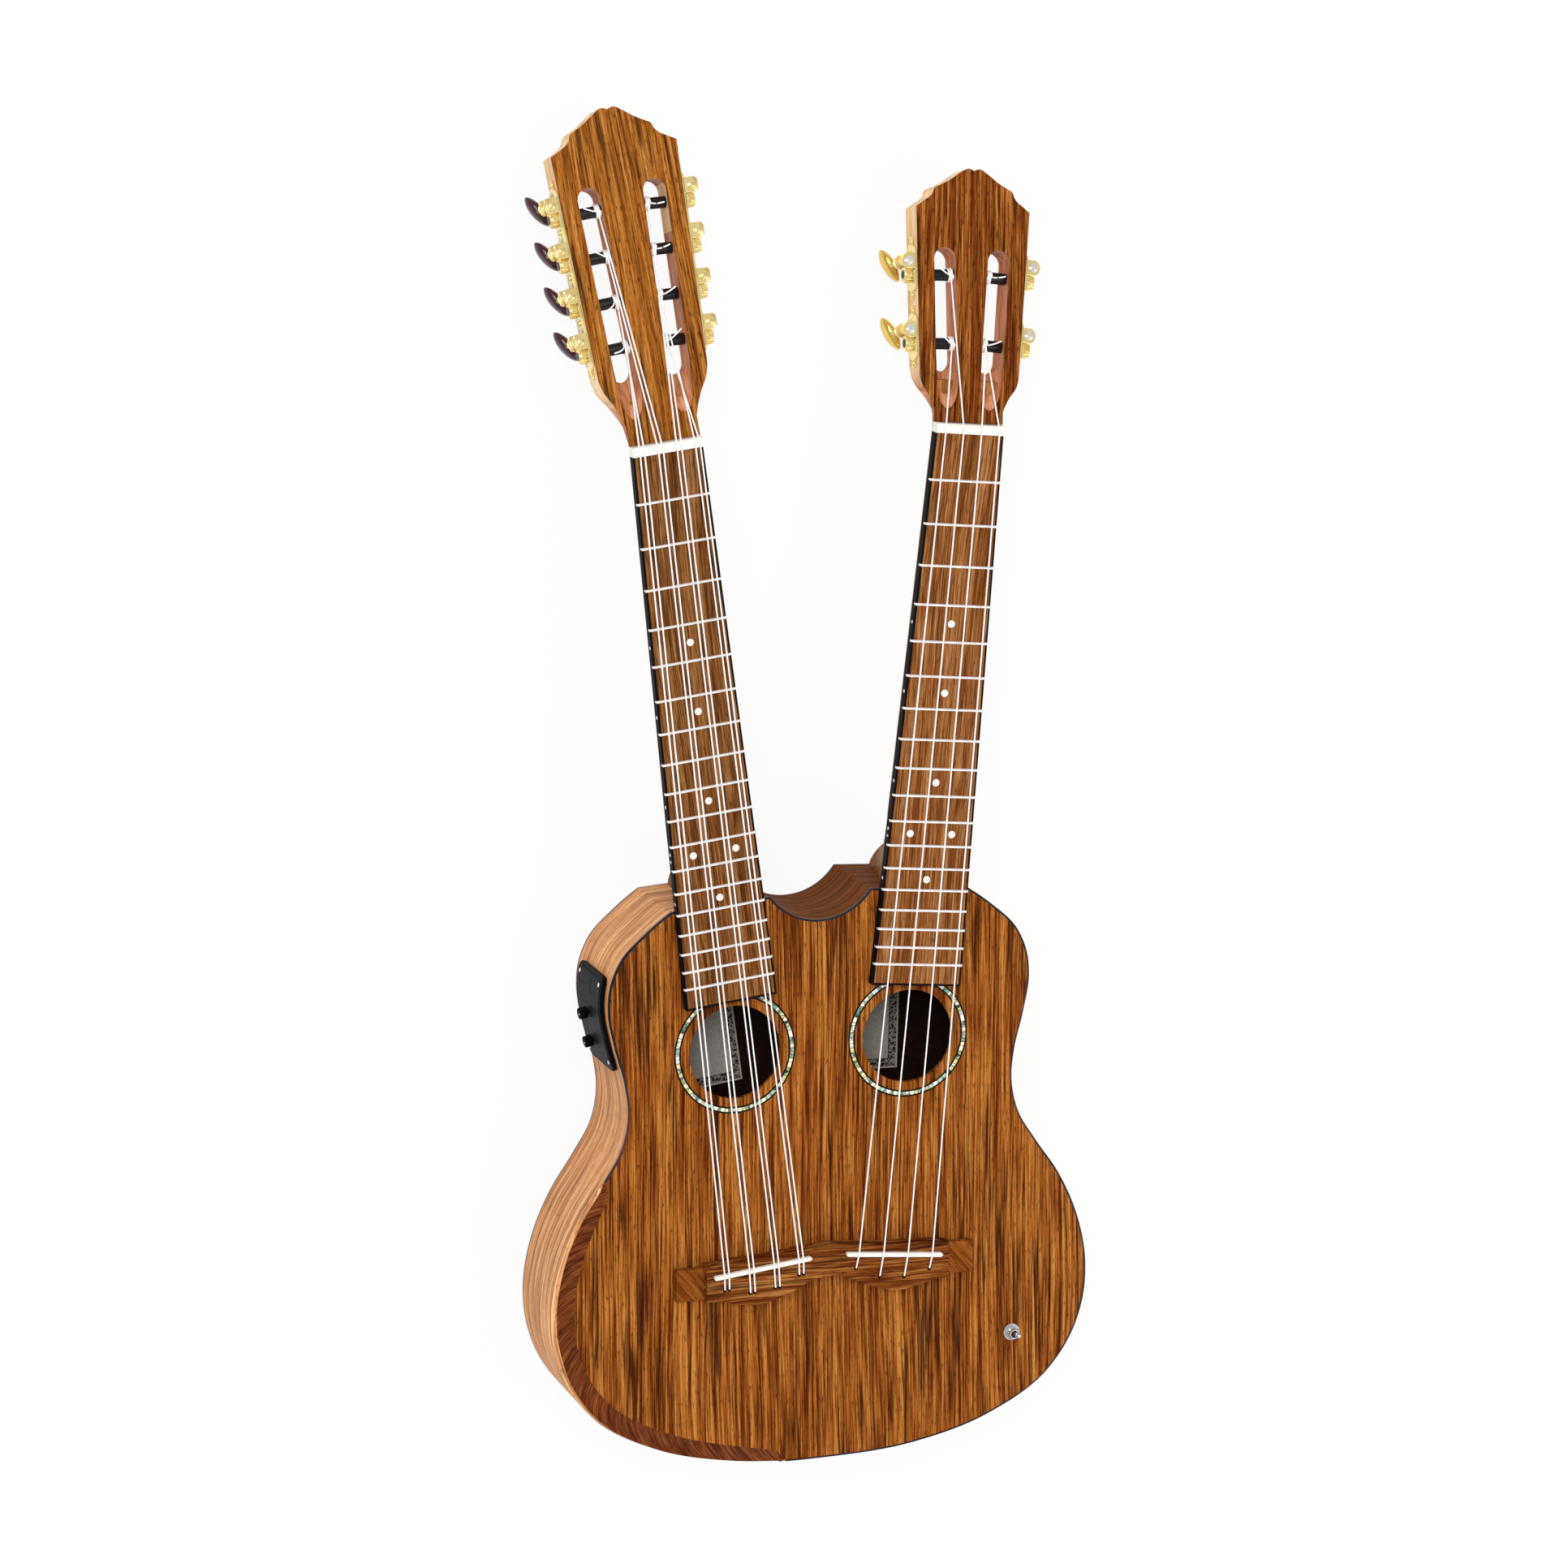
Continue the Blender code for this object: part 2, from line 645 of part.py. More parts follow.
def neck_stations():
    """Sections from under the headstock to the body, the heel dropping to the back in a curve."""
    out = []
    tilt = math.radians(HEAD_TILT)
    for along in (-ROOT_LENGTH, -ROOT_LENGTH / 2):
        face = HEAD_FACE_RISE - (NUT_LENGTH - along) * math.tan(tilt)
        share = along / -ROOT_LENGTH
        top = face - ROOT_TOP_DROP
        bottom = face - HEAD_THICK * math.cos(tilt) + (1 - share) * ROOT_RISE
        out.append(neck_section(NUT_WIDTH / 2 - ROOT_INSET, top - bottom, -along, 0.0, top))
    start = NECK_LENGTH - HEEL_REACH
    for along in (0.0, start / 3, start * 2 / 3, start):
        depth = NECK_DEPTH + NECK_DEPTH_GAIN * along / start
        out.append(neck_section(neck_half_width(along), depth, -along, 0.0))
    full = BODY_DEPTH - HEEL_LIFT
    thin = NECK_DEPTH + NECK_DEPTH_GAIN
    for t in (0.15, 0.28, 0.42, 0.57, 0.75, 1.0, 1.2):
        along = start + HEEL_REACH * t
        share = min(t, 1.0)
        depth = thin + (full - thin) * share * share * (3 - 2 * share)
        out.append(neck_section(neck_half_width(along), depth, -along, share))
    return out


def neck_half_width(along):
    """Half of the neck's width under the fretboard, which stands proud of it a little."""
    return board_half_width(along) - BOARD_OVERHANG


def slot_frame(head, parent, sign, name):
    """A frame along a headstock's side: X outwards, Y up the side, Z out of the face."""
    s0 = head["posts"][0]
    x0 = head_side_x(head, s0)
    return frame(name, parent, (sign * x0, s0, 0), (0, 0, -sign * side_turn(head)))


def shoulder_turn():
    """Angle between the body's straight shoulder, where a neck meets it, and the X axis."""
    return math.atan2(SHOULDER_DROP, SHOULDER_X - SCOOP_WIDTH / 2)


def throat_wedge():
    """The wood taken from under the headstock's root, so that its back runs into the neck's."""
    section = (
        (-CUT_REACH, -THROAT_DEPTH), (0.0, -THROAT_DEPTH), (THROAT_LENGTH, -HEAD_THICK),
        (THROAT_LENGTH, -CUT_REACH), (-CUT_REACH, -CUT_REACH),
    )
    return rings([[(x, s, z) for s, z in section] for x in (-CUT_REACH, CUT_REACH)])


def make_neck(side, wood):
    """A neck with its heel and headstock in one piece, and the frames that carry its fittings."""
    sign = SIDES[side]
    head = HEADS[side]
    base = frame(
        f"{side}_neck_frame", None, (sign * NUT_SPREAD, NUT_Y, BODY_DEPTH),
        (0, 0, math.radians(HALF_SPLAY) * -sign),
    )
    face = frame(
        f"{side}_head_frame", base, (0, NUT_LENGTH, HEAD_FACE_RISE), (-math.radians(HEAD_TILT), 0, 0)
    )
    neck = add(f"{side}_neck", *rings(neck_stations()), wood["neck"], base)
    half = head_half_outline(head)
    outline = half + [(-x, s) for x, s in half[-2::-1]]
    slab = tool(f"join_{side}_head", *prism(outline, -HEAD_THICK, 0.0), face)
    boolean(slab, tool(f"cut_{side}_throat", *throat_wedge(), face))
    seat = box(-CUT_REACH, CUT_REACH, -CUT_REACH, NUT_LENGTH, 0.0, CUT_MARGIN)
    boolean(slab, tool(f"cut_{side}_nut_seat", *seat, base))
    boolean(neck, slab, "UNION")
    inner, outer = -CUT_REACH / 2, CUT_REACH * 1.5
    reach = (inner, outer) if sign > 0 else (-outer, -inner)
    beyond = box(*reach, -CUT_REACH, 0.0, -BODY_DEPTH - CUT_MARGIN, CUT_MARGIN)
    corner = (sign * SCOOP_WIDTH / 2, BODY_END_Y + GAP, BODY_DEPTH)
    turn = (0, 0, -sign * shoulder_turn())
    boolean(neck, tool(f"cut_{side}_neck_end", *beyond, None, corner, turn))
    rows = {}
    for row_sign in (-1, 1):
        row_name = "outer" if row_sign == sign else "inner"
        row = slot_frame(head, face, row_sign, f"{side}_{row_name}_row")
        rows[row_sign] = row
        cut_slot(neck, head, row, row_sign, f"{side}_{row_name}")
    return base, neck, rows


def cut_slot(neck, head, row, sign, name):
    """One slot with rounded ends, its ramp to the nut, and the bores for the posts."""
    s0 = head["posts"][0]
    low = head["slot"][0] - s0 + SLOT_WIDTH / 2
    high = head["slot"][1] - s0 - SLOT_WIDTH / 2
    x = -sign * SLOT_INSET
    r = SLOT_WIDTH / 2
    half_turn = np.linspace(0, math.pi, 7)
    upper = [(x + r * math.cos(a), high + r * math.sin(a)) for a in half_turn]
    lower = [(x - r * math.cos(a), low - r * math.sin(a)) for a in half_turn]
    through = prism(upper + lower, -HEAD_THICK - CUT_MARGIN, CUT_MARGIN)
    boolean(neck, tool(f"cut_slot_{name}", *through, row))
    trough = [(x - r * RAMP_FIT, CUT_REACH / 2)]
    trough += [
        (x + r * RAMP_FIT * math.cos(a), r * math.sin(a)) for a in np.linspace(math.pi, 2 * math.pi, 9)
    ]
    trough += [(x + r * RAMP_FIT, CUT_REACH / 2)]
    reach = RAMP_LENGTH / math.cos(math.radians(RAMP_FALL))
    ring_list = [[(u, v, w) for u, w in trough] for v in (-reach, reach)]
    ramp = tool(
        f"cut_ramp_{name}", *rings(ring_list), row,
        (0, low - RAMP_TO_SLOT, 0), (-math.radians(RAMP_FALL), 0, 0),
    )
    boolean(neck, ramp)
    web = SLOT_INSET + SLOT_WIDTH / 2 + POST_WEB + RUN
    wall = post_wall()
    for i, s in enumerate(head["posts"]):
        shaft, roller = SHAFT_RADIUS + RUN, POST_RADIUS + RUN
        steps = ((shaft, CUT_MARGIN / 2), (shaft, -wall), (roller, -wall), (roller, -web))
        profile = [(radius, sign * place) for radius, place in steps]
        place = (0, s - s0, -POST_DEPTH)
        boolean(neck, tool(f"cut_bore_{name}_{i + 1}", *turned(profile, 10, "X"), row, place))


def post_wall():
    """Depth, from the headstock's side, of the shoulder where a post's shaft becomes its roller."""
    return SLOT_INSET - SLOT_WIDTH / 2 - POST_SHOULDER


def fret_places():
    return [SCALE_LENGTH * (1 - 2 ** (-n / 12)) for n in range(1, FRET_COUNT + 1)]


def make_fretboard(side, base, wood):
    """The board with its frets: each fret's crown is a low ridge that stands on the board."""
    end = HOLE_FROM_NUT - HOLE_RADIUS - BOARD_TO_HOLE
    low, high = GAP, BOARD_THICK
    places = [0.0]
    for place in fret_places():
        places += [place + share * FRET_WIDTH for share in (-0.5, -0.25, 0.25, 0.5)]
    places.append(end)
    ring_list = []
    for i, along in enumerate(places):
        on_crown = 0 < i < len(places) - 1 and i % 4 in (2, 3)
        top = high + (FRET_STAND if on_crown else 0.0)
        half = board_half_width(along)
        corners = ((-half, low), (half, low), (half, top), (-half, top))
        ring_list.append([(x, -along, z) for x, z in corners])
    return add(f"{side}_fretboard", *rings(ring_list), wood["board"], base)


def make_nut(side, base, bone):
    top = BOARD_THICK + FRET_STAND + NUT_STAND
    half = NUT_WIDTH / 2 + NUT_OVERHANG
    y0, y1 = GAP, NUT_LENGTH - GAP
    section = ((y0, GAP), (y0, top), (y0 + NUT_FLAT, top), (y1, top - NUT_FALL), (y1, GAP))
    ring_list = [[(x, y, z) for y, z in section] for x in (-half, half)]
    return add(f"{side}_nut", *rings(ring_list), bone, base)


def saddle_line_y():
    """Place along Y of the saddles' outer ends."""
    return neck_point("left", -SADDLE_WIDTH / 2 - SADDLE_OUTWARD, -SADDLE_FROM_NUT)[1]


def bridge_outline(centre_only):
    """The bridge's centre part, or the whole of it with its two thin wings."""
    line = saddle_line_y()
    top_end = (BRIDGE_CENTRE_HALF, -BRIDGE_WING_TOP * 1.3)
    low_end = (BRIDGE_CENTRE_HALF, BRIDGE_WING_BOTTOM - BRIDGE_WING_CLIP)
    upper = list(natural_curve(list(BRIDGE_UPPER) + [top_end], 0.008))
    lower = list(natural_curve(list(BRIDGE_LOWER) + [low_end], 0.006))
    wing = [(BRIDGE_HALF, -BRIDGE_WING_TOP), (BRIDGE_HALF, BRIDGE_WING_BOTTOM - BRIDGE_WING_CLIP)]
    right = upper + ([] if centre_only else wing) + lower[::-1]
    left = [(-x, y) for x, y in right[::-1]]
    whole = right + [p for p in left if abs(p[0]) > 1e-9]
    return [(x, line - y) for x, y in whole]


def make_bridge(wood, bone):
    """One bridge under both string sets, slotted for its saddles and bored for the strings."""
    low = BODY_DEPTH + GAP
    centre_part = prism(bridge_outline(True), low, BODY_DEPTH + BRIDGE_HEIGHT)
    bridge = add("bridge", *centre_part, wood["bridge"])
    wings = prism(bridge_outline(False), low, BODY_DEPTH + BRIDGE_WING_HEIGHT)
    boolean(bridge, tool("join_bridge_wings", *wings), "UNION")
    for side, sign in SIDES.items():
        centre = neck_point(side, sign * SADDLE_OUTWARD, -SADDLE_FROM_NUT)
        turn = (0, 0, -sign * math.radians(HALF_SPLAY))
        w, t = SADDLE_WIDTH / 2, SADDLE_THICK / 2
        bottom = BODY_DEPTH + BRIDGE_HEIGHT - SADDLE_SLOT_DEPTH
        top = BODY_DEPTH + BRIDGE_HEIGHT + SADDLE_STAND
        slot = tool(
            f"cut_saddle_slot_{side}",
            *box(-w - GAP, w + GAP, -t - GAP, t + GAP, bottom - GAP, top + CUT_MARGIN),
            None, (*centre, 0), turn,
        )
        boolean(bridge, slot)
        half_section = ((t, bottom), (t, top - t * 0.6), (t * 0.5, top))
        section = half_section + tuple((-y, z) for y, z in half_section[::-1])
        ring_list = [[(x, y, z) for y, z in section] for x in (-w, w)]
        add(f"{side}_saddle", *rings(ring_list), bone, None, (*centre, 0), turn)
    return bridge


def string_places(side):
    """For each string: its course, its place at the nut and at the saddle, and its post."""
    sign = SIDES[side]
    offsets = (-PAIR_GAP / 2, PAIR_GAP / 2) if side == "left" else (0.0,)
    out = []
    for course in range(COURSES):
        step = course - (COURSES - 1) / 2
        for offset in offsets:
            nut = step * NUT_SPACING + offset + NUT_STRING_SHIFT
            saddle = step * SADDLE_SPACING + offset + sign * SADDLE_OUTWARD
            out.append({"course": course, "nut": nut, "saddle": saddle})
    half = len(out) // 2
    for i, string in enumerate(out):
        string["row"] = -1 if i < half else 1
        string["post"] = i if i < half else len(out) - 1 - i
    return out


def tube(points, radius, sides=6):
    """Rings of a round cord along a bent line, each ring square to the line."""
    p = [Vector(q) for q in points]
    out = []
    for i, here in enumerate(p):
        ahead = (p[min(i + 1, len(p) - 1)] - here).normalized() if i + 1 < len(p) else Vector()
        behind = (here - p[i - 1]).normalized() if i else Vector()
        direction = (ahead + behind).normalized()
        side_way = direction.cross(Vector((1, 0, 0))).normalized()
        other = side_way.cross(direction).normalized()
        share = 1 / max(direction.dot(ahead if i + 1 < len(p) else behind), 0.6)
        out.append([
            here + side_way * (x * share) + other * y for x, y in circle(radius, sides)
        ])
    return out


def string_route(side, string, row_matrix):
    """A string's centre line from its knot under the soundboard to the top of its post."""
    top = BODY_DEPTH + BRIDGE_HEIGHT
    clear = GAP + STRING_RADIUS
    setback = STRING_HOLE_SETBACK[string["course"]]
    spread = string["saddle"]
    hole = neck_point(side, spread, -SADDLE_FROM_NUT - setback)
    saddle = neck_point(side, spread, -SADDLE_FROM_NUT)
    behind = neck_point(side, spread, -SADDLE_FROM_NUT - SADDLE_THICK / 2)
    nut_front = neck_point(side, string["nut"], 0.0010)
    nut_back = neck_point(side, string["nut"], NUT_LENGTH * 0.55)
    nut_z = FRET_PLANE_Z + NUT_STAND + clear
    saddle_z = top + SADDLE_STAND + clear
    head = HEADS[side]
    s = head["posts"][string["post"]] - head["posts"][0]
    attach = string["row"] * (-SLOT_INSET - SLOT_WIDTH / 2 + STRING_ATTACH)
    end = row_matrix @ Vector((attach, s, -POST_DEPTH + POST_RADIUS + clear))
    return [
        (*hole, BODY_DEPTH - SOUNDBOARD_THICK - KNOT_DROP),
        (*hole, top + STRING_EASE),
        (*behind, saddle_z - STRING_EASE),
        (*saddle, saddle_z),
        (*nut_front, nut_z),
        (*nut_back, nut_z - STRING_EASE / 2),
        tuple(end),
    ]


def make_strings(side, rows, bridge, board, nylon):
    """Strings in four courses. Two strings of a course are one length, tied in one knot."""
    strings = string_places(side)
    for i, string in enumerate(strings):
        route = string_route(side, string, rows[string["row"]].matrix_world)
        string["route"] = route
        way = circle(STRING_HOLE_RADIUS, 8, route[0][:2])
        bore = prism(way, BODY_DEPTH - CUT_MARGIN, BODY_DEPTH + BRIDGE_HEIGHT + CUT_MARGIN)
        for plate in (bridge, board):
            boolean(plate, tool(f"cut_string_{side}_{i + 1}_{plate.name}", *bore))
    for course in range(COURSES):
        mates = [s for s in strings if s["course"] == course]
        name = f"{side}_string_{course + 1}" if len(mates) == 1 else f"{side}_course_{course + 1}"
        obj = add(name, *rings(tube(mates[0]["route"], STRING_RADIUS)), nylon)
        if len(mates) > 1:
            other = tool(f"join_{name}", *rings(tube(mates[1]["route"], STRING_RADIUS)))
            boolean(obj, other, "UNION")
        middle = sum((Vector(s["route"][0]) for s in mates), Vector()) / len(mates)
        reach = KNOT_RADIUS + (PAIR_GAP / 2 if len(mates) > 1 else 0.0)
        tip, half = KNOT_END_RADIUS, KNOT_HALF_LENGTH
        knot_profile = ((tip, -half), (reach, -half / 2), (reach, half / 2), (tip, half))
        knot = tool(f"join_knot_{name}", *turned(knot_profile, 10), None, tuple(middle))
        boolean(obj, knot, "UNION")


def plate_outline(low, high):
    """A tuner plate seen from the side: straight, with narrowed, rounded ends."""
    front, back = PLATE_FRONT, PLATE_BACK
    middle = (front + back) / 2
    tip, neck = PLATE_TIP_LENGTH, PLATE_TAPER_LENGTH
    return [
        (low, middle - PLATE_TIP_HALF), (low, middle + PLATE_TIP_HALF),
        (low + tip, middle + PLATE_NECK_HALF), (low + neck, front),
        (high - neck, front), (high - tip, middle + PLATE_NECK_HALF),
        (high, middle + PLATE_TIP_HALF), (high, middle - PLATE_TIP_HALF),
        (high - tip, middle - PLATE_NECK_HALF), (high - neck, back),
        (low + neck, back), (low + tip, middle - PLATE_NECK_HALF),
    ]


def make_plate(name, row, sign, places, gold):
    """A plate on the headstock's side, with two bearing tabs for each worm."""
    low = places[0] - PLATE_END
    high = places[-1] + WORM_TO_POST + PLATE_END
    x0, x1 = sign * GAP, sign * (GAP + PLATE_THICK)
    outline = plate_outline(low, high)
    plate = add(name, *rings([[(x, s, z) for s, z in outline] for x in (x0, x1)]), gold, row)
    worm_x = sign * WORM_STAND
    for i, s in enumerate(places):
        worm_s = s + WORM_TO_POST
        for end, z in (("front", PLATE_FRONT - TAB_THICK), ("rear", REAR_TAB)):
            reach = sign * (TAB_REACH - WORM_STAND)
            arc = [
                (worm_x + reach * math.cos(a), worm_s + TAB_HALF * math.sin(a))
                for a in np.linspace(-math.pi / 2, math.pi / 2, 7)
            ]
            root = sign * (GAP + PLATE_THICK / 2)
            shape = [(root, worm_s - TAB_HALF)] + arc + [(root, worm_s + TAB_HALF)]
            tab = tool(f"join_{name}_{end}_{i + 1}", *prism(shape, z, z + TAB_THICK), row)
            boolean(plate, tab, "UNION")
        bore = prism(circle(SPINDLE_RADIUS + RUN, 10, (worm_x, worm_s)), -2 * CUT_MARGIN, CUT_MARGIN)
        boolean(plate, tool(f"cut_{name}_worm_{i + 1}", *bore, row))
        ends = (-PLATE_THICK, GAP + 2 * PLATE_THICK)
        shaft = turned([(SHAFT_RADIUS + RUN, sign * place) for place in ends], 12, "X")
        boolean(plate, tool(f"cut_{name}_post_{i + 1}", *shaft, row, (0, s, -POST_DEPTH)))
    return plate


def make_post(name, row, sign, s, brass):
    """A string post with its cog: a toothed wheel outside the plate, a shaft and a roller."""
    count = COG_TEETH * 2
    start = COG_STAND + COG_LENGTH
    verts, faces = [], []

    def ring(place, radii):
        base = len(verts)
        for i in range(count):
            a = 2 * math.pi * i / count
            r = radii[i % 2]
            verts.append((sign * place, r * math.cos(a), r * math.sin(a)))
        return base

    def skin(a, b):
        for i in range(count):
            k = (i + 1) % count
            faces.append((a + i, a + k, b + k, b + i))

    teeth = (COG_RADIUS, COG_ROOT)
    outer = ring(start, teeth)
    inner = ring(COG_STAND, teeth)
    skin(outer, inner)
    faces.append(tuple(range(outer, outer + count)))
    slim = len(verts)
    wall = post_wall() + RUN
    web = SLOT_INSET + SLOT_WIDTH / 2 + POST_WEB
    profile = (
        (SHAFT_RADIUS, COG_STAND), (SHAFT_RADIUS, -wall),
        (POST_RADIUS, -wall - POST_TAPER), (POST_RADIUS, -web),
    )
    half = count // 2
    for radius, place in profile:
        for i in range(half):
            a = 2 * math.pi * i / half
            verts.append((sign * place, radius * math.cos(a), radius * math.sin(a)))
    for i in range(half):
        k = (i + 1) % half
        a, b = inner + 2 * i, inner + (2 * i + 1)
        c = inner + (2 * i + 2) % count
        faces.append((a, b, slim + i))
        faces.append((b, c, slim + k, slim + i))
    for level in range(len(profile) - 1):
        a = slim + level * half
        for i in range(half):
            k = (i + 1) % half
            faces.append((a + i, a + k, a + half + k, a + half + i))
    last = slim + (len(profile) - 1) * half
    faces.append(tuple(range(last, last + half)))
    return add(name, verts, faces, brass, row, (0, s, -POST_DEPTH))


def make_button(name, row, sign, s, finish):
    """A worm with its spindle and button, turned about an axis square to the headstock's face."""
    worm_front = PLATE_FRONT - TAB_THICK - GAP
    worm_rear = REAR_TAB + TAB_THICK + GAP
    collar_front = REAR_TAB - 2 * GAP
    collar_rear = REAR_TAB - COLLAR_LENGTH
    profile = (
        (SPINDLE_RADIUS, SPINDLE_FRONT), (SPINDLE_RADIUS, worm_front),
        (WORM_RADIUS, worm_front - WORM_TAPER), (WORM_RADIUS, worm_rear + WORM_TAPER),
        (SPINDLE_RADIUS, worm_rear), (SPINDLE_RADIUS, REAR_TAB - GAP),
        (COLLAR_RADIUS, collar_front), (COLLAR_RADIUS, collar_rear),
        (BUTTON_STEM_RADIUS, collar_rear - WORM_TAPER),
    )
    sides = 8
    ring_list = [[(x, y, z) for x, y in circle(radius, sides)] for radius, z in profile]
    turn = math.radians(BUTTON_TURN) * sign
    for t in (-0.97, -0.6, 0.0, 0.6, 0.98):
        swell = math.sqrt(1 - t * t)
        wide = max(BUTTON_HALF_WIDTH * swell, BUTTON_TIP_HALF_WIDTH)
        thick = max(BUTTON_HALF_THICK * swell, BUTTON_TIP_HALF_THICK)
        z = -BUTTON_DEPTH - t * BUTTON_HALF_LENGTH
        ring = []
        for x, y in circle(1.0, sides):
            u, v = wide * x, thick * y
            across = u * math.cos(turn) - v * math.sin(turn)
            along = u * math.sin(turn) + v * math.cos(turn)
            ring.append((across, along, z))
        ring_list.append(ring)
    place = (sign * WORM_STAND, s + WORM_TO_POST, 0)
    return smooth(add(name, *rings(ring_list), finish, row, place))


def make_tuners(side, rows, metal):
    """Worm, button, cog and post for every string, and the plates that carry them."""
    head = HEADS[side]
    s0 = head["posts"][0]
    for sign, row in rows.items():
        label = row.name.replace("_row", "")
        places = [s - s0 for s in head["posts"]]
        if side == "left":
            make_plate(f"{label}_plate", row, sign, places, metal["gold"])
        for i, s in enumerate(places):
            if side == "right":
                make_plate(f"{label}_plate_{i + 1}", row, sign, [s], metal["gold"])
            make_post(f"{label}_post_{i + 1}", row, sign, s, metal["gold"])
            button = metal["dark_button"] if side == "left" else metal["gold"]
            make_button(f"{label}_button_{i + 1}", row, sign, s, button)


def side_wall(drop, outward):
    """A point on the body's left side, moved outwards by a distance, and the way out there."""
    step = FINE_STEP / 2
    here = Vector((-body_x(drop), BODY_END_Y - drop))
    above = Vector((-body_x(drop - step), BODY_END_Y - drop + step))
    below = Vector((-body_x(drop + step), BODY_END_Y - drop - step))
    along = (above - below).normalized()
    out = Vector((-along.y, along.x))
    if out.x > 0:
        out = -out
    return here + out * outward, out


def side_sheet(rows, outer, inner):
    """A plate bent to the body's left side, between two distances out of it.

    Each row gives a place down the side and the plate's lower and upper edge there.
    """
    ring_list = []
    for drop, low, high in rows:
        a, _ = side_wall(drop, outer)
        b, _ = side_wall(drop, inner)
        ring_list.append(((*a, low), (*a, high), (*b, high), (*b, low)))
    return rings(ring_list)


def preamp_rows(shrink, corner):
    """Places down the side for the preamp's outline, drawn in all round, with its corners cut."""
    top, bottom = PREAMP_TOP + shrink, PREAMP_TOP + PREAMP_LENGTH - shrink
    low, high = PREAMP_LOW + shrink, PREAMP_HIGH - shrink
    rows = [(top, low + corner, high - corner), (top + corner, low, high)]
    for share in (0.2, 0.35, 0.5, 0.65, 0.8):
        rows.append((top + share * (bottom - top), low, high))
    rows += [(bottom - corner, low, high), (bottom, low + corner, high - corner)]
    return rows


def make_preamp(rim, plastic):
    """The preamp's panel on the left side, its box inside the body, and its two knobs."""
    sheet = side_sheet(preamp_rows(0.0, PREAMP_CORNER), PREAMP_STAND, 2 * GAP)
    panel = add("preamp_case", *sheet, plastic)
    case_rows = preamp_rows(PREAMP_FLANGE, PREAMP_BOX_CORNER)[1:-1]
    case = tool("join_preamp_box", *side_sheet(case_rows, GAP + PREAMP_STAND / 3, -PREAMP_BOX))
    boolean(panel, case, "UNION")
    window_rows = preamp_rows(PREAMP_FLANGE - GAP, PREAMP_BOX_CORNER - GAP)[1:-1]
    window = side_sheet(window_rows, CUT_MARGIN, -LINING_WIDTH - LINING_SLOPE)
    boolean(rim, tool("cut_preamp_window", *window))
    for i, (drop, height) in enumerate(KNOB_PLACES):
        base, out = side_wall(PREAMP_TOP + drop, PREAMP_STAND)
        turn = tuple(Vector((0, 0, 1)).rotation_difference(Vector((out.x, out.y, 0))).to_euler())
        place = (*base, PREAMP_LOW + height)
        ends = (-KNOB_SPINDLE_LENGTH - RUN, KNOB_SPINDLE_LENGTH)
        bore = turned([(KNOB_SPINDLE + RUN, end) for end in ends], 8)
        boolean(panel, tool(f"cut_preamp_spindle_{i + 1}", *bore, None, place, turn))
        profile = (
            (KNOB_SPINDLE, -KNOB_SPINDLE_LENGTH), (KNOB_SPINDLE, 2 * GAP), (KNOB_RADIUS, 2 * GAP),
            (KNOB_RADIUS, KNOB_LENGTH - KNOB_EDGE), (KNOB_RADIUS - KNOB_EDGE, KNOB_LENGTH),
        )
        name = ("preamp_volume_knob", "preamp_tone_knob")[i]
        smooth(add(name, *turned(profile, 12), plastic, None, place, turn))


def make_toggle(board, chrome):
    """A miniature lever switch through the soundboard: can, bush, nut and lever."""
    x, y = TOGGLE_X, BODY_END_Y - TOGGLE_DROP
    top = (x, y, BODY_DEPTH)
    hole = prism(circle(TOGGLE_BUSH + GAP, 12), -CUT_MARGIN, CUT_MARGIN)
    boolean(board, tool("cut_toggle_hole", *hole, None, top))
    under = -SOUNDBOARD_THICK - GAP
    bush = prism(circle(TOGGLE_BUSH, 12), under - TOGGLE_BUSH, TOGGLE_BUSH_HEIGHT)
    switch = add("toggle_switch", *bush, chrome, None, top)
    w, h = TOGGLE_CAN_WIDTH / 2, TOGGLE_CAN_LENGTH / 2
    rim = circle(TOGGLE_NUT, 6, (0, 0), TOGGLE_NUT_TURN)
    shapes = {
        "can": box(-w, w, -h, h, under - TOGGLE_CAN_HEIGHT, under),
        "washer": prism(circle(TOGGLE_WASHER, 16), GAP, TOGGLE_WASHER_HEIGHT),
        "nut": prism(rim, TOGGLE_WASHER_HEIGHT - GAP, TOGGLE_NUT_HEIGHT),
    }
    for name, shape in shapes.items():
        boolean(switch, tool(f"join_toggle_{name}", *shape, None, top), "UNION")
    boolean(switch, tool("cut_toggle_well", *turned(TOGGLE_WELL, 12), None, top))
    length = TOGGLE_LENGTH
    profile = (
        (0.0006, -TOGGLE_BALL_DROP), (0.0009, 0.0), (0.0010, length * 0.33),
        (0.0013, length * 0.78), (0.0012, length * 0.93), (0.0006, length),
    )
    pivot = (x, y, BODY_DEPTH + TOGGLE_PIVOT)
    lean = (0, math.radians(TOGGLE_LEAN), 0)
    smooth(add("toggle_lever", *turned(profile, 10), chrome, None, pivot, lean))


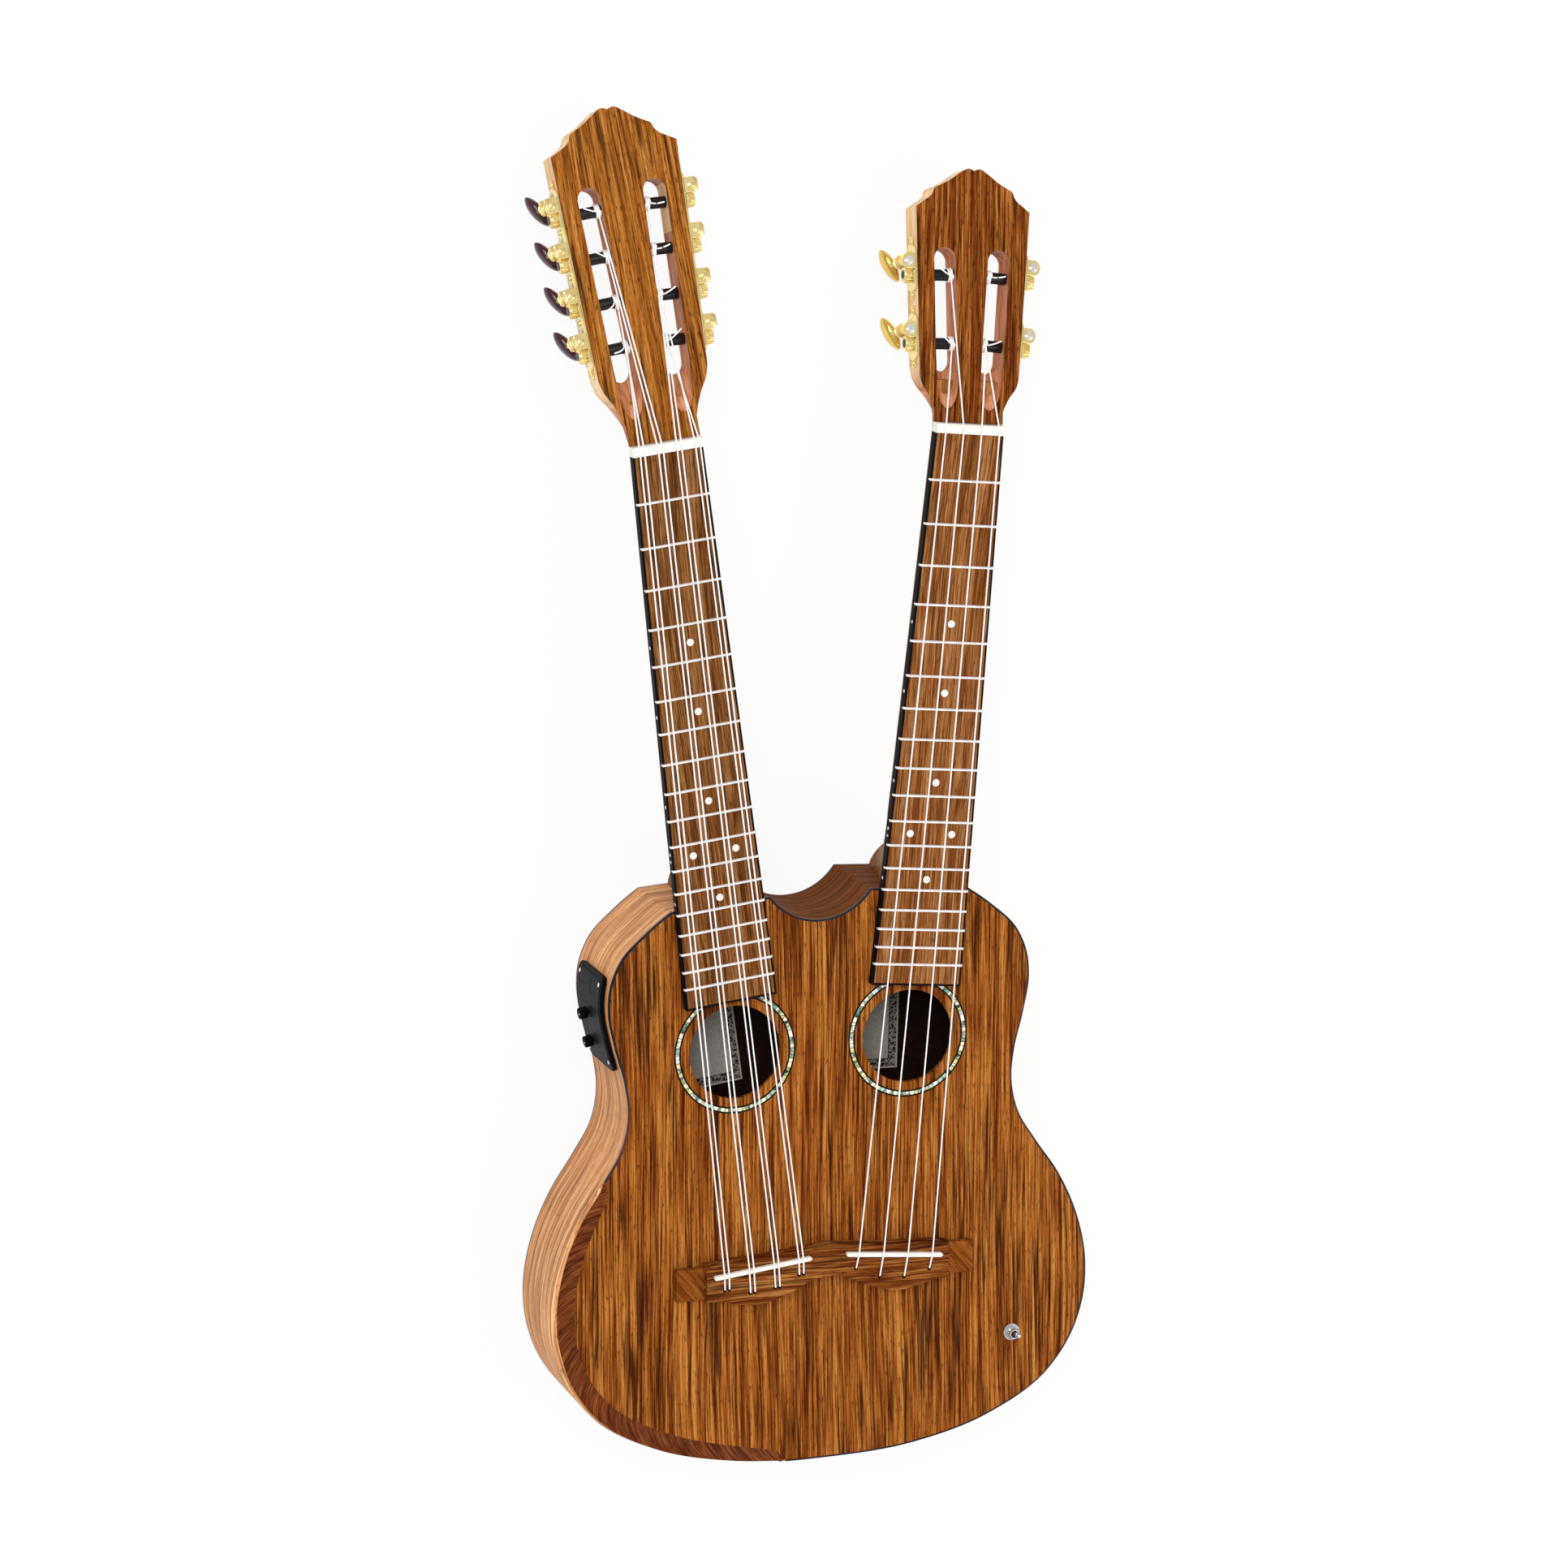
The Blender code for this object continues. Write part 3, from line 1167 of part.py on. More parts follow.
def make_jack(rim, chrome):
    """The output socket at the tail: a hollow barrel through rim and block, with a flange outside."""
    place = (0, BODY_END_Y - BODY_LENGTH, BODY_DEPTH / 2)
    boolean(rim, tool("cut_jack_rim", *jack_bore(), None, place))
    reach = TAIL_BLOCK_LENGTH + JACK_END_WALL
    profile = (
        (JACK_FLANGE, -JACK_FLANGE_THICK), (JACK_FLANGE, -GAP),
        (JACK_RADIUS, -GAP), (JACK_RADIUS, reach),
    )
    jack = add("output_jack", *turned(profile, JACK_SIDES, "Y"), chrome, None, place)
    ends = (-CUT_MARGIN, TAIL_BLOCK_LENGTH)
    plug_way = turned([(JACK_BORE, end) for end in ends], JACK_SIDES, "Y")
    boolean(jack, tool("cut_jack_bore", *plug_way, None, place))


def main():
    for obj in list(bpy.data.objects):
        bpy.data.objects.remove(obj)
    wood = {
        "top": material("soundboard walnut", (0.33, 0.16, 0.05), 0.35),
        "side": material("side wood", (0.55, 0.33, 0.16), 0.4),
        "bevel": material("bevel walnut", (0.20, 0.08, 0.03), 0.4),
        "neck": material("neck mahogany", (0.62, 0.36, 0.20), 0.45),
        "board": material("fretboard walnut", (0.24, 0.12, 0.05), 0.5),
        "bridge": material("bridge walnut", (0.20, 0.09, 0.04), 0.5),
        "pale": material("block wood", (0.60, 0.45, 0.28), 0.7),
    }
    bone = material("bone", (0.90, 0.88, 0.82), 0.35)
    nylon = material("nylon", (0.85, 0.85, 0.83), 0.3)
    plastic = material("black plastic", (0.02, 0.02, 0.02), 0.5)
    chrome = material("chrome", (0.75, 0.75, 0.76), 0.12, 1.0)
    metal = {
        "gold": material("gold plate", (0.85, 0.62, 0.22), 0.2, 1.0),
        "dark_button": material("dark red button", (0.10, 0.02, 0.02), 0.3),
    }
    board, rim = make_body(wood)
    bridge = make_bridge(wood, bone)
    for side in SIDES:
        base, _, rows = make_neck(side, wood)
        make_fretboard(side, base, wood)
        make_nut(side, base, bone)
        make_tuners(side, rows, metal)
        bpy.context.view_layer.update()
        make_strings(side, rows, bridge, board, nylon)
    make_preamp(rim, plastic)
    make_toggle(board, chrome)
    make_jack(rim, chrome)


main()
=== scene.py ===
"""Looks of the double-neck ukulele, laid over its frame of solids.

The same driving sizes as the solids' give every piece its place. +Z points out of the
soundboard, +Y to the headstocks and +X to the four-string side. Lengths are in metres.
Each piece's points are worked out in the plan of what carries it (the body, a neck, a
headstock or a row of tuners), kept as the attribute "grain", and then carried to their place.
"""

import math

import bmesh
import bpy
import numpy as np
from mathutils import Matrix


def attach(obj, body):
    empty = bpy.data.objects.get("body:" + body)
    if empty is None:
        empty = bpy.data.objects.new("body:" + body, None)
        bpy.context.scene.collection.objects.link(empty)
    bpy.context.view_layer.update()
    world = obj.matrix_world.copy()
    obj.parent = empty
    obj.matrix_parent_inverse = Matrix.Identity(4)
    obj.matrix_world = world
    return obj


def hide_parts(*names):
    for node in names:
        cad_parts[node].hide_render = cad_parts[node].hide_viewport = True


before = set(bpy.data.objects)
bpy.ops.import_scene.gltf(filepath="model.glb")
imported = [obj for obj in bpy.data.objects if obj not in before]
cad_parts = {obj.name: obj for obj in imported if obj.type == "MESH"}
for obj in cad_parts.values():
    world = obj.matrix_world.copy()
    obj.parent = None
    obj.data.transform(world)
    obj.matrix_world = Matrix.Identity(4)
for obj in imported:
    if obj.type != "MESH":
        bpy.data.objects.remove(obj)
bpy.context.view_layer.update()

SIDES = {"left": -1, "right": 1}

# Fineness
OUTLINE_STEP = 0.0022
MERGE = 1e-6

# Necks
SCALE_LENGTH = 0.432
FRET_COUNT = 18
NUT_SPREAD = 0.08093
HALF_SPLAY = 6.01
NECK_LENGTH = 0.2360
NUT_WIDTH = 0.0374
NUT_LENGTH = 0.0055
NUT_STAND = 0.0013
NUT_BACK_LENGTH = 0.0026
NUT_BACK_FALL = 0.0016
NUT_GROOVE_WIDTH = 0.00045
NUT_GROOVE_DEPTH = 0.0005
BOARD_THICK = 0.0053
BOARD_END_WIDTH = 0.0494
BOARD_OVERHANG = 0.0002
BOARD_EDGE = 0.0011
BOARD_ROUND = 0.0003
FRET_STAND = 0.0010
FRET_CROWN = 0.0007
FRET_SINK = 0.0005
DOT_RADIUS = 0.0019
SIDE_DOT_RADIUS = 0.0009
DOTTED_SPACES = (5, 7, 10, 12, 14)
DOUBLE_DOT_SPACE = 12
NECK_DEPTH = 0.0120
NECK_DEPTH_GAIN = 0.0023
HEEL_REACH = 0.036
HEEL_FOOT = 0.0093
HEEL_LIFT = 0.0018
NUT_Y = 0.18716590
BODY_END_Y = NUT_Y - NECK_LENGTH

# Body
BODY_DEPTH = 0.060
BODY_LENGTH = 0.3078
BODY_HALF_WIDTH = 0.1479
SOUNDBOARD_THICK = 0.0025
BACK_THICK = 0.0025
SIDE_THICK = 0.0024
LINING_WIDTH = 0.0065
LINING_HEIGHT = 0.009
LINING_SLOPE = 0.004
SCOOP_WIDTH = 0.0548
SCOOP_DEPTH = 0.0143
SHOULDER_X = 0.081
SHOULDER_DROP = 0.0037
CUTAWAY_HALF_WIDTH = 0.0562
CUTAWAY_DEPTH = 0.03
HOLE_RADIUS = 0.02484
HOLE_FROM_NUT = 0.31878
BOARD_TO_HOLE = 0.0034
BOARD_END = HOLE_FROM_NUT - HOLE_RADIUS - BOARD_TO_HOLE
BODY_SIDE = (
    (0.645, 0.047), (0.730, 0.087), (0.774, 0.135), (0.782, 0.175),
    (0.759, 0.240), (0.725, 0.305), (0.715, 0.354), (0.741, 0.416),
    (0.805, 0.468), (0.895, 0.533), (0.968, 0.614), (1.000, 0.699),
    (0.991, 0.760), (0.946, 0.825), (0.848, 0.890), (0.623, 0.955),
    (0.338, 0.991),
)
BRACE_WIDTH = 0.007
BRACE_HEIGHT = 0.009
BRACE_END = 0.0105
BRACE_ROUND = 0.0008
BRACE_BELOW_SADDLE = 0.0350
BEVEL_START = 0.4711 * BODY_LENGTH
BEVEL_TAIL_X = 0.0240
BEVEL_WIDTH = 0.0115
BEVEL_DROP = 0.0045
BEVEL_FULLNESS = 0.2
BEVEL_TAN_SHARE = 0.23
BEVEL_TAN_START = 0.3
BEVEL_TAN_EASE = 0.3
BEVEL_BULGE = 0.0012
BINDING_WIDTH = 0.0011
BINDING_HEIGHT = 0.0014
BINDING_ROUND = 0.0003
ROSETTE_INNER = 0.03035
ROSETTE_OUTER = 0.03212
ROSETTE_LINE = 0.0009
ROSETTE_SINK = 0.0005
LABEL_WIDTH = 0.050
LABEL_LENGTH = 0.062
LABEL_THICK = 0.00015
LABELS = {"left": (0.0222, -0.0312, 7.0), "right": (0.0140, -0.0330, -2.0)}

# Bridge
SADDLE_FROM_NUT = SCALE_LENGTH + 0.0030
SADDLE_WIDTH = 0.0540
SADDLE_THICK = 0.0026
SADDLE_OUTWARD = 0.0010
SADDLE_STAND = 0.0024
SADDLE_SLOT_DEPTH = 0.004
BRIDGE_HEIGHT = 0.0085
BRIDGE_WING_HEIGHT = 0.0040
BRIDGE_CENTRE_HALF = 0.067
BRIDGE_HALF = 0.0825
BRIDGE_WING_TOP = 0.0048
BRIDGE_WING_BOTTOM = 0.0128
BRIDGE_ROUND = 0.0009
BRIDGE_UPPER = ((0.0, -0.0116), (0.016, -0.0101), (0.035, -0.0084), (0.052, -0.0077))
BRIDGE_LOWER = (
    (0.0, 0.0054), (0.0095, 0.0068), (0.0190, 0.0115), (0.0285, 0.0151),
    (0.0385, 0.0171), (0.0490, 0.0159), (0.0580, 0.0137),
)

# Strings
STRING_RADIUS = 0.00040
STRING_MOUTH_RADIUS = 0.00110
STRING_MOUTH_LOW = 0.0006
STRING_MOUTH_DEPTH = 0.0005
STRING_HOLE_SETBACK = (0.0073, 0.0116, 0.0116, 0.0073)
COURSES = 4
PAIR_GAP = 0.0025
NUT_SPACING = 0.0098
SADDLE_SPACING = 0.0137
NUT_STRING_SHIFT = 0.0005
KNOT_DROP = 0.0040
FRET_PLANE_Z = BODY_DEPTH + BOARD_THICK + FRET_STAND
CLEAR = 0.0003
WINDING_TURNS = 4

# Headstocks
HEAD_TILT = 12.0
HEAD_FACE_RISE = 0.0021
HEAD_THICK = 0.0165
VENEER = 0.0009
HEAD_ROUND = 0.0005
SLOT_INSET = 0.0150
SLOT_WIDTH = 0.0122
SLOTS_HALF_REACH = 0.0226
RAMP_FALL = 24.0
RAMP_LENGTH = 0.0160
RAMP_TO_SLOT = 0.0130
THROAT_DEPTH = 0.0015
THROAT_LENGTH = 0.0290
ROOT_LENGTH = 0.0260
ROOT_RISE = 0.0030
ROOT_TOP_DROP = 0.0020
ROOT_INSET = 0.0008
HEADS = {
    "left": {
        "tip": 0.1699, "corner_x": 0.0332, "low_x": 0.0289, "low_s": 0.0337,
        "slot": (0.0320, 0.1308), "posts": (0.0491, 0.0723, 0.0955, 0.1187),
    },
    "right": {
        "tip": 0.1307, "corner_x": 0.0310, "low_x": 0.0270, "low_s": 0.0220,
        "slot": (0.0260, 0.0890), "posts": (0.0399, 0.0751),
    },
}
CORNER_DROP = 0.0208
CROWN = (
    (0.0262, 0.0171), (0.0226, 0.0139), (0.0212, 0.0107), (0.0184, 0.0092),
    (0.0130, 0.0062), (0.0070, 0.0020), (0.0031, 0.0000), (0.0012, 0.0004),
    (0.0000, 0.0012),
)

# Tuning machines
POST_DEPTH = 0.0058
POST_RADIUS = 0.0030
POST_WEB = 0.0035
SHAFT_RADIUS = 0.0022
COG_RADIUS = 0.0043
COG_ROOT = 0.0034
COG_TEETH = 14
COG_LENGTH = 0.0044
COG_STAND = 0.0016
WORM_TO_POST = 0.0070
WORM_RADIUS = 0.0023
WORM_STAND = 0.0045
WORM_PITCH = 0.0014
PLATE_THICK = 0.0010
PLATE_FRONT = -0.0008
PLATE_BACK = -0.0142
PLATE_END = 0.0125
PLATE_TIP = 0.0022
PLATE_ROUND = 0.0003
SCREW_RADIUS = 0.0016
SCREW_INSET = 0.0024
MACHINE_STEP = 0.0232
TAB_THICK = 0.0012
TAB_HALF = 0.0040
TAB_REACH = 0.0082
REAR_TAB = -0.0125
SPINDLE_RADIUS = 0.0014
COLLAR_RADIUS = 0.0032
BUTTON_DEPTH = 0.0307
BUTTON_HALF_WIDTH = 0.0095
BUTTON_HALF_THICK = 0.0033
BUTTON_HALF_LENGTH = 0.0052
BUTTON_TURN = 60.0

# Pickup controls
PREAMP_TOP = 0.1218 * BODY_LENGTH
PREAMP_LENGTH = 0.0500
PREAMP_LOW = 0.0095
PREAMP_HIGH = 0.0535
PREAMP_STAND = 0.0028
PREAMP_CORNER = 0.0042
PREAMP_FLANGE = 0.0065
PREAMP_BOX = 0.0220
PREAMP_FACE_INSET = 0.0024
PREAMP_SCREW_INSET = 0.0048
PREAMP_RECESSES = (
    ((0.0085, 0.0445), (0.0045, 0.0135)),
    ((0.0050, 0.0105), (0.0225, 0.0265)),
    ((0.0105, 0.0112), (0.0265, 0.0345)),
    ((0.0185, 0.0188), (0.0150, 0.0360)),
    ((0.0425, 0.0450), (0.0270, 0.0300)),
)
KNOB_RADIUS = 0.0030
KNOB_LENGTH = 0.0052
KNOBS = {"preamp_volume_knob": (0.0225, 0.0205), "preamp_tone_knob": (0.0380, 0.0180)}
TOGGLE_X = 0.7126 * BODY_HALF_WIDTH
TOGGLE_DROP = 0.8109 * BODY_LENGTH
TOGGLE_BUSH = 0.0030
TOGGLE_BUSH_HEIGHT = 0.0052
TOGGLE_WASHER = 0.0046
TOGGLE_WASHER_HEIGHT = 0.0011
TOGGLE_NUT = 0.0040
TOGGLE_NUT_TURN = 0.3
TOGGLE_NUT_HEIGHT = 0.0032
TOGGLE_PIVOT = 0.0005
TOGGLE_LEAN = 8.0
TOGGLE_LENGTH = 0.0092
TOGGLE_CAN = ((-0.004, 0.004), (-0.0065, 0.0065), (-0.0138, -0.0028))
TOGGLE_TIP = 0.00135
JACK_RADIUS = 0.0060

# Studio
WHITE = (1.0, 1.0, 1.0, 1.0)
FLOOR_GREY = 0.92
FLOOR_HALF = 6.0
FLOOR_DROP = -0.0005
LAMPS = {
    "key": ((-0.9, 0.9, 2.2), 26.0, 0.9),
    "fill": ((1.6, -0.6, 1.8), 11.0, 1.2),
    "rear": ((0.3, -2.0, 1.2), 8.0, 1.0),
}
LAMP_AIM = (0.0, -0.05, 0.04)
CAMERA_SENSOR = 36.0
CAMERA_LENS = 125.28
CAMERA_PLACE = (-0.876064, 0.604977, 2.670284)
CAMERA_WAYS = (
    (0.94948, -0.00915, 0.31369),
    (0.07486, 0.97732, -0.19808),
    (-0.30476, 0.21156, 0.92863),
)

# Places that follow from the sizes
SADDLE_DROP = SADDLE_FROM_NUT * math.cos(math.radians(HALF_SPLAY)) - NECK_LENGTH
TOP_BRACE_DROPS = (
    0.1397 * BODY_LENGTH, 0.3899 * BODY_LENGTH, SADDLE_DROP + BRACE_BELOW_SADDLE,
)
LOWER_BRACE_END = TOGGLE_X - 0.008
BACK_BRACE_DROPS = (0.1624 * BODY_LENGTH, 0.4200 * BODY_LENGTH, 0.6823 * BODY_LENGTH)


# Placing

def moved(x, y, z):
    """A shift, as a 4 by 4 matrix."""
    place = np.eye(4)
    place[:3, 3] = (x, y, z)
    return place


def turned(axis, degrees):
    """A turn about one of the axes, as a 4 by 4 matrix."""
    return np.array(Matrix.Rotation(math.radians(degrees), 4, axis))


def carried(matrix, points):
    """Points taken through a matrix."""
    points = np.asarray(points, float)
    return points @ matrix[:3, :3].T + matrix[:3, 3]


def neck_frame(side):
    """The plan of a neck: origin at the nut's front on the body's top plane, +Y to the head."""
    sign = SIDES[side]
    return moved(sign * NUT_SPREAD, NUT_Y, BODY_DEPTH) @ turned("Z", -sign * HALF_SPLAY)


def head_frame(side):
    """The plan of a headstock's face, tilted back from the neck."""
    return neck_frame(side) @ moved(0, NUT_LENGTH, HEAD_FACE_RISE) @ turned("X", -HEAD_TILT)


def row_frame(side, row):
    """The plan of one tuner row: X square to the head's side, Y up it, Z out of the face."""
    head = HEADS[side]
    corner_s = head["tip"] - CORNER_DROP
    lean = math.atan2(head["corner_x"] - head["low_x"], corner_s - head["low_s"])
    s0 = head["posts"][0]
    share = (s0 - head["low_s"]) / (corner_s - head["low_s"])
    x0 = head["low_x"] + (head["corner_x"] - head["low_x"]) * share
    return head_frame(side) @ moved(row * x0, s0, 0) @ turned("Z", -row * math.degrees(lean))


def post_places(side):
    """Places of a headstock's posts up its tuner row, from the first."""
    posts = HEADS[side]["posts"]
    return [s - posts[0] for s in posts]


def row_label(side, row):
    """Whether a tuner row is on the instrument's outer or inner side."""
    return "outer" if row == SIDES[side] else "inner"


def neck_point(side, across, along):
    """A point of a neck's plan, given from its nut, in the body's plan."""
    return carried(neck_frame(side), (across, along, 0.0))[:2]


def hole_centre(side):
    """The middle of a soundhole, in the body's plan."""
    return neck_point(side, 0.0, -HOLE_FROM_NUT)


# Shapes

def grid_faces(rows, cols, loop):
    """The quads between neighbours of a grid whose points run row by row, each row a ring."""
    i = np.arange(rows if loop else rows - 1)
    i, j = np.meshgrid(i, np.arange(cols), indexing="ij")
    below, beside = (i + 1) % rows, (j + 1) % cols
    corners = (i * cols + j, i * cols + beside, below * cols + beside, below * cols + j)
    return np.stack(corners, -1).reshape(-1, 4)


class Form:
    """A shape gathered from parts: points, faces, and the number of each face's finish."""

    def __init__(self):
        self.points = np.zeros((0, 3))
        self.faces = []
        self.marks = []

    def grid(self, points, loop=False, mark=0):
        """Quads over rows of points, each row a ring. loop joins the last row to the first.

        A grid that isn't looped is closed by its first and last rows.
        """
        points = np.asarray(points, float)
        rows, cols = points.shape[:2]
        start = len(self.points)
        faces = (grid_faces(rows, cols, loop) + start).tolist()
        marks = np.broadcast_to(np.asarray(mark), (len(faces),)).tolist()
        if not loop:
            last = start + (rows - 1) * cols
            faces.append(list(range(start, start + cols))[::-1])
            faces.append(list(range(last, last + cols)))
            marks += [marks[0], marks[-1]]
        self.points = np.vstack([self.points, points.reshape(-1, 3)])
        self.faces += faces
        self.marks += marks
        return self

    def box(self, x, y, z, matrix=None):
        """A block between pairs of x, y and z, whose corners may be carried by a matrix."""
        ring = [(x[0], y[0]), (x[1], y[0]), (x[1], y[1]), (x[0], y[1])]
        points = np.array([[(a, b, c) for a, b in ring] for c in z])
        if matrix is not None:
            points = carried(matrix, points)
        return self.grid(points)


def prism(outline, low, high):
    """An outline in the plan, carried straight up from low to high."""
    outline = np.asarray(outline, float)
    levels = [np.c_[outline, np.full(len(outline), z)] for z in (low, high)]
    return np.stack(levels)


def circle(radius, count, centre):
    """Points spaced evenly round a circle in the plan."""
    angle = np.arange(count) * 2 * math.pi / count
    return np.c_[centre[0] + radius * np.cos(angle), centre[1] + radius * np.sin(angle)]


def lathe(profile, count, axis="Z", ripple=None):
    """Pairs of (radius, place) turned about an axis. ripple(angle, place) scales the radius."""
    profile = np.asarray(profile, float)
    angle = np.arange(count) * 2 * math.pi / count
    radius = profile[:, :1] * np.ones(count)
    if ripple is not None:
        radius = radius * ripple(angle[None, :], profile[:, 1:])
    a, b = radius * np.cos(angle), radius * np.sin(angle)
    place = np.broadcast_to(profile[:, 1:], a.shape)
    order = {"Z": (a, b, place), "X": (place, a, b), "Y": (b, place, a)}[axis]
    return np.stack(order, -1)


def dome(radius, base, rise):
    """A profile that closes a turned part: a quarter of an ellipse, short of its middle."""
    return [(radius * math.cos(a), base + rise * math.sin(a)) for a in np.linspace(0.1, 1.5, 8)]


def natural_curve(points, spacing):
    """A smooth curve through the points: cubic pieces whose slopes come from the chords."""
    p = np.array(points, float)
    chord = np.linalg.norm(np.diff(p, axis=0), axis=1)
    slope = np.diff(p, axis=0) / chord[:, None]
    tangent = np.empty_like(p)
    weighted = slope[:-1] * chord[1:, None] + slope[1:] * chord[:-1, None]
    tangent[1:-1] = weighted / (chord[:-1] + chord[1:])[:, None]
    tangent[0] = 2 * slope[0] - tangent[1]
    tangent[-1] = 2 * slope[-1] - tangent[-2]
    out = []
    for i, length in enumerate(chord):
        steps = max(1, round(length / spacing))
        t = (np.arange(steps) / steps)[:, None]
        out.append(
            (2 * t**3 - 3 * t**2 + 1) * p[i]
            + (t**3 - 2 * t**2 + t) * length * tangent[i]
            + (3 * t**2 - 2 * t**3) * p[i + 1]
            + (t**3 - t**2) * length * tangent[i + 1]
        )
    return np.vstack(out + [p[-1:]])


def tube(path, radius, sides=10):
    """A round thread along a path: rings square to the path at each of its points."""
    p = np.asarray(path, float)
    step = np.diff(p, axis=0)
    step /= np.linalg.norm(step, axis=1)[:, None]
    ahead = np.vstack([step, step[-1:]])
    behind = np.vstack([step[:1], step])
    way = ahead + behind
    way /= np.linalg.norm(way, axis=1)[:, None]
    helper = np.where(np.abs(way[:, :1]) > 0.9, (0.0, 0.0, 1.0), (1.0, 0.0, 0.0))
    side = np.cross(way, helper)
    side /= np.linalg.norm(side, axis=1)[:, None]
    other = np.cross(side, way)
    angle = np.arange(sides) * 2 * math.pi / sides
    ring = side[:, None, :] * np.cos(angle)[None, :, None]
    ring = ring + other[:, None, :] * np.sin(angle)[None, :, None]
    return p[:, None, :] + ring * radius


# Making pieces

def mesh_of(name, form):
    """A mesh of a form's points and faces, with the number of each face's finish."""
    mesh = bpy.data.meshes.new(name)
    mesh.from_pydata(form.points.tolist(), [], form.faces)
    mesh.polygons.foreach_set("material_index", np.array(form.marks, np.int32))
    tidy_mesh(mesh)
    return mesh


def tidy_mesh(mesh):
    """Doubles merged, and every closed shell turned to face outwards."""
    work = bmesh.new()
    work.from_mesh(mesh)
    bmesh.ops.remove_doubles(work, verts=work.verts, dist=MERGE)
    bmesh.ops.recalc_face_normals(work, faces=work.faces)
    work.to_mesh(mesh)
    work.free()


def carve(obj, forms):
    """Takes closed shapes away from a piece for good."""
    tools = []
    for form in forms:
        other = bpy.data.objects.new("cutter", mesh_of("cutter", form))
        bpy.context.scene.collection.objects.link(other)
        step = obj.modifiers.new("carve", "BOOLEAN")
        step.operation = "DIFFERENCE"
        step.solver = "EXACT"
        step.object = other
        tools.append(other)
    bake(obj)
    for other in tools:
        bpy.data.objects.remove(other)


def bake(obj):
    """Makes a piece's modifiers part of its mesh."""
    bpy.context.view_layer.update()
    graph = bpy.context.evaluated_depsgraph_get()
    result = bpy.data.meshes.new_from_object(obj.evaluated_get(graph))
    obj.modifiers.clear()
    obj.data = result


def soften(obj, width):
    """Small round edges, where two faces meet at more than 40 degrees."""
    edge = obj.modifiers.new("soft edges", "BEVEL")
    edge.width = width
    edge.segments = 2
    edge.limit_method = "ANGLE"
    edge.angle_limit = math.radians(40)


def put(name, form, finishes, nodes=(), body="instrument", matrix=None, cuts=(),
        grain=None, angle=35.0, bevel=0.0):
    """A piece in its place, with its grain coordinates, finishes and body.

    grain gives the pattern's coordinates from the points in the piece's own plan.
    """
    obj = bpy.data.objects.new(name, mesh_of(name, form))
    bpy.context.scene.collection.objects.link(obj)
    if cuts:
        carve(obj, cuts)
    if bevel:
        soften(obj, bevel)
        bake(obj)
    mesh = obj.data
    count = len(mesh.vertices)
    local = np.empty(count * 3)
    mesh.vertices.foreach_get("co", local)
    local = local.reshape(-1, 3)
    pattern = local if grain is None else grain(local)
    layer = mesh.attributes.new("grain", "FLOAT_VECTOR", "POINT")
    layer.data.foreach_set("vector", np.ascontiguousarray(pattern, np.float32).ravel())
    if matrix is not None:
        mesh.transform(Matrix(matrix.tolist()))
    marks = np.empty(len(mesh.polygons), np.int32)
    mesh.polygons.foreach_get("material_index", marks)
    mesh.materials.clear()
    for finish in finishes if isinstance(finishes, (list, tuple)) else [finishes]:
        mesh.materials.append(finish)
    mesh.polygons.foreach_set("material_index", marks)
    mesh.shade_smooth()
    mesh.set_sharp_from_angle(angle=math.radians(angle))
    mesh.name = name
    if cuts or bevel:
        even = obj.modifiers.new("even shading", "WEIGHTED_NORMAL")
        even.keep_sharp = True
    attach(obj, body)
    if nodes:
        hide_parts(*nodes)


# Finishes

def tone(red, green, blue):
    """A colour given as screen values up to 255, in linear light."""
    value = np.array([red, green, blue]) / 255
    linear = np.where(value <= 0.04045, value / 12.92, ((value + 0.055) / 1.055) ** 2.4)
    return (*linear.tolist(), 1.0)


class Nodes:
    """A tree of shading nodes, added one by one. Each method gives the new node's output."""

    def __init__(self, tree):
        self.tree = tree

    def add(self, kind, inputs, out=0, **settings):
        node = self.tree.nodes.new(kind)
        for key, value in settings.items():
            setattr(node, key, value)
        for key, value in inputs.items():
            if isinstance(value, bpy.types.NodeSocket):
                self.tree.links.new(value, node.inputs[key])
            else:
                node.inputs[key].default_value = value
        return node.outputs[out]

    def rays(self):
        return self.tree.nodes.new("ShaderNodeLightPath").outputs

    def turned(self, vector, degrees):
        turn = (0.0, 0.0, math.radians(degrees))
        return self.add("ShaderNodeMapping", {"Vector": vector, "Rotation": turn})

    def stretched(self, vector, factors):
        return self.add("ShaderNodeVectorMath", {0: vector, 1: factors}, operation="MULTIPLY")

    def math(self, operation, a, b=0.0, clamp=False):
        return self.add("ShaderNodeMath", {0: a, 1: b}, operation=operation, use_clamp=clamp)

    def part(self, vector, axis):
        return self.add("ShaderNodeSeparateXYZ", {0: vector}, "XYZ".index(axis))

    def noise(self, vector, scale=1.0, detail=2.0):
        inputs = {"Vector": vector, "Scale": scale, "Detail": detail}
        return self.add("ShaderNodeTexNoise", inputs)

    def cells(self, vector, out=0, **settings):
        inputs = {"Vector": vector, "Scale": 1.0}
        return self.add("ShaderNodeTexVoronoi", inputs, out, **settings)

    def ramp(self, value, stops):
        """Colours or greys along a value, from (place, colour) pairs."""
        node = self.tree.nodes.new("ShaderNodeValToRGB")
        self.tree.links.new(value, node.inputs[0])
        elements = node.color_ramp.elements
        while len(elements) < len(stops):
            elements.new(0.5)
        for element, (place, colour) in zip(elements, stops):
            element.position = place
            grey = isinstance(colour, float)
            element.color = (colour, colour, colour, 1.0) if grey else colour
        return node.outputs[0]

    def mix(self, share, a, b, blend="MIX"):
        inputs = {0: share, 6: a, 7: b}
        return self.add("ShaderNodeMix", inputs, 2, data_type="RGBA", blend_type=blend)


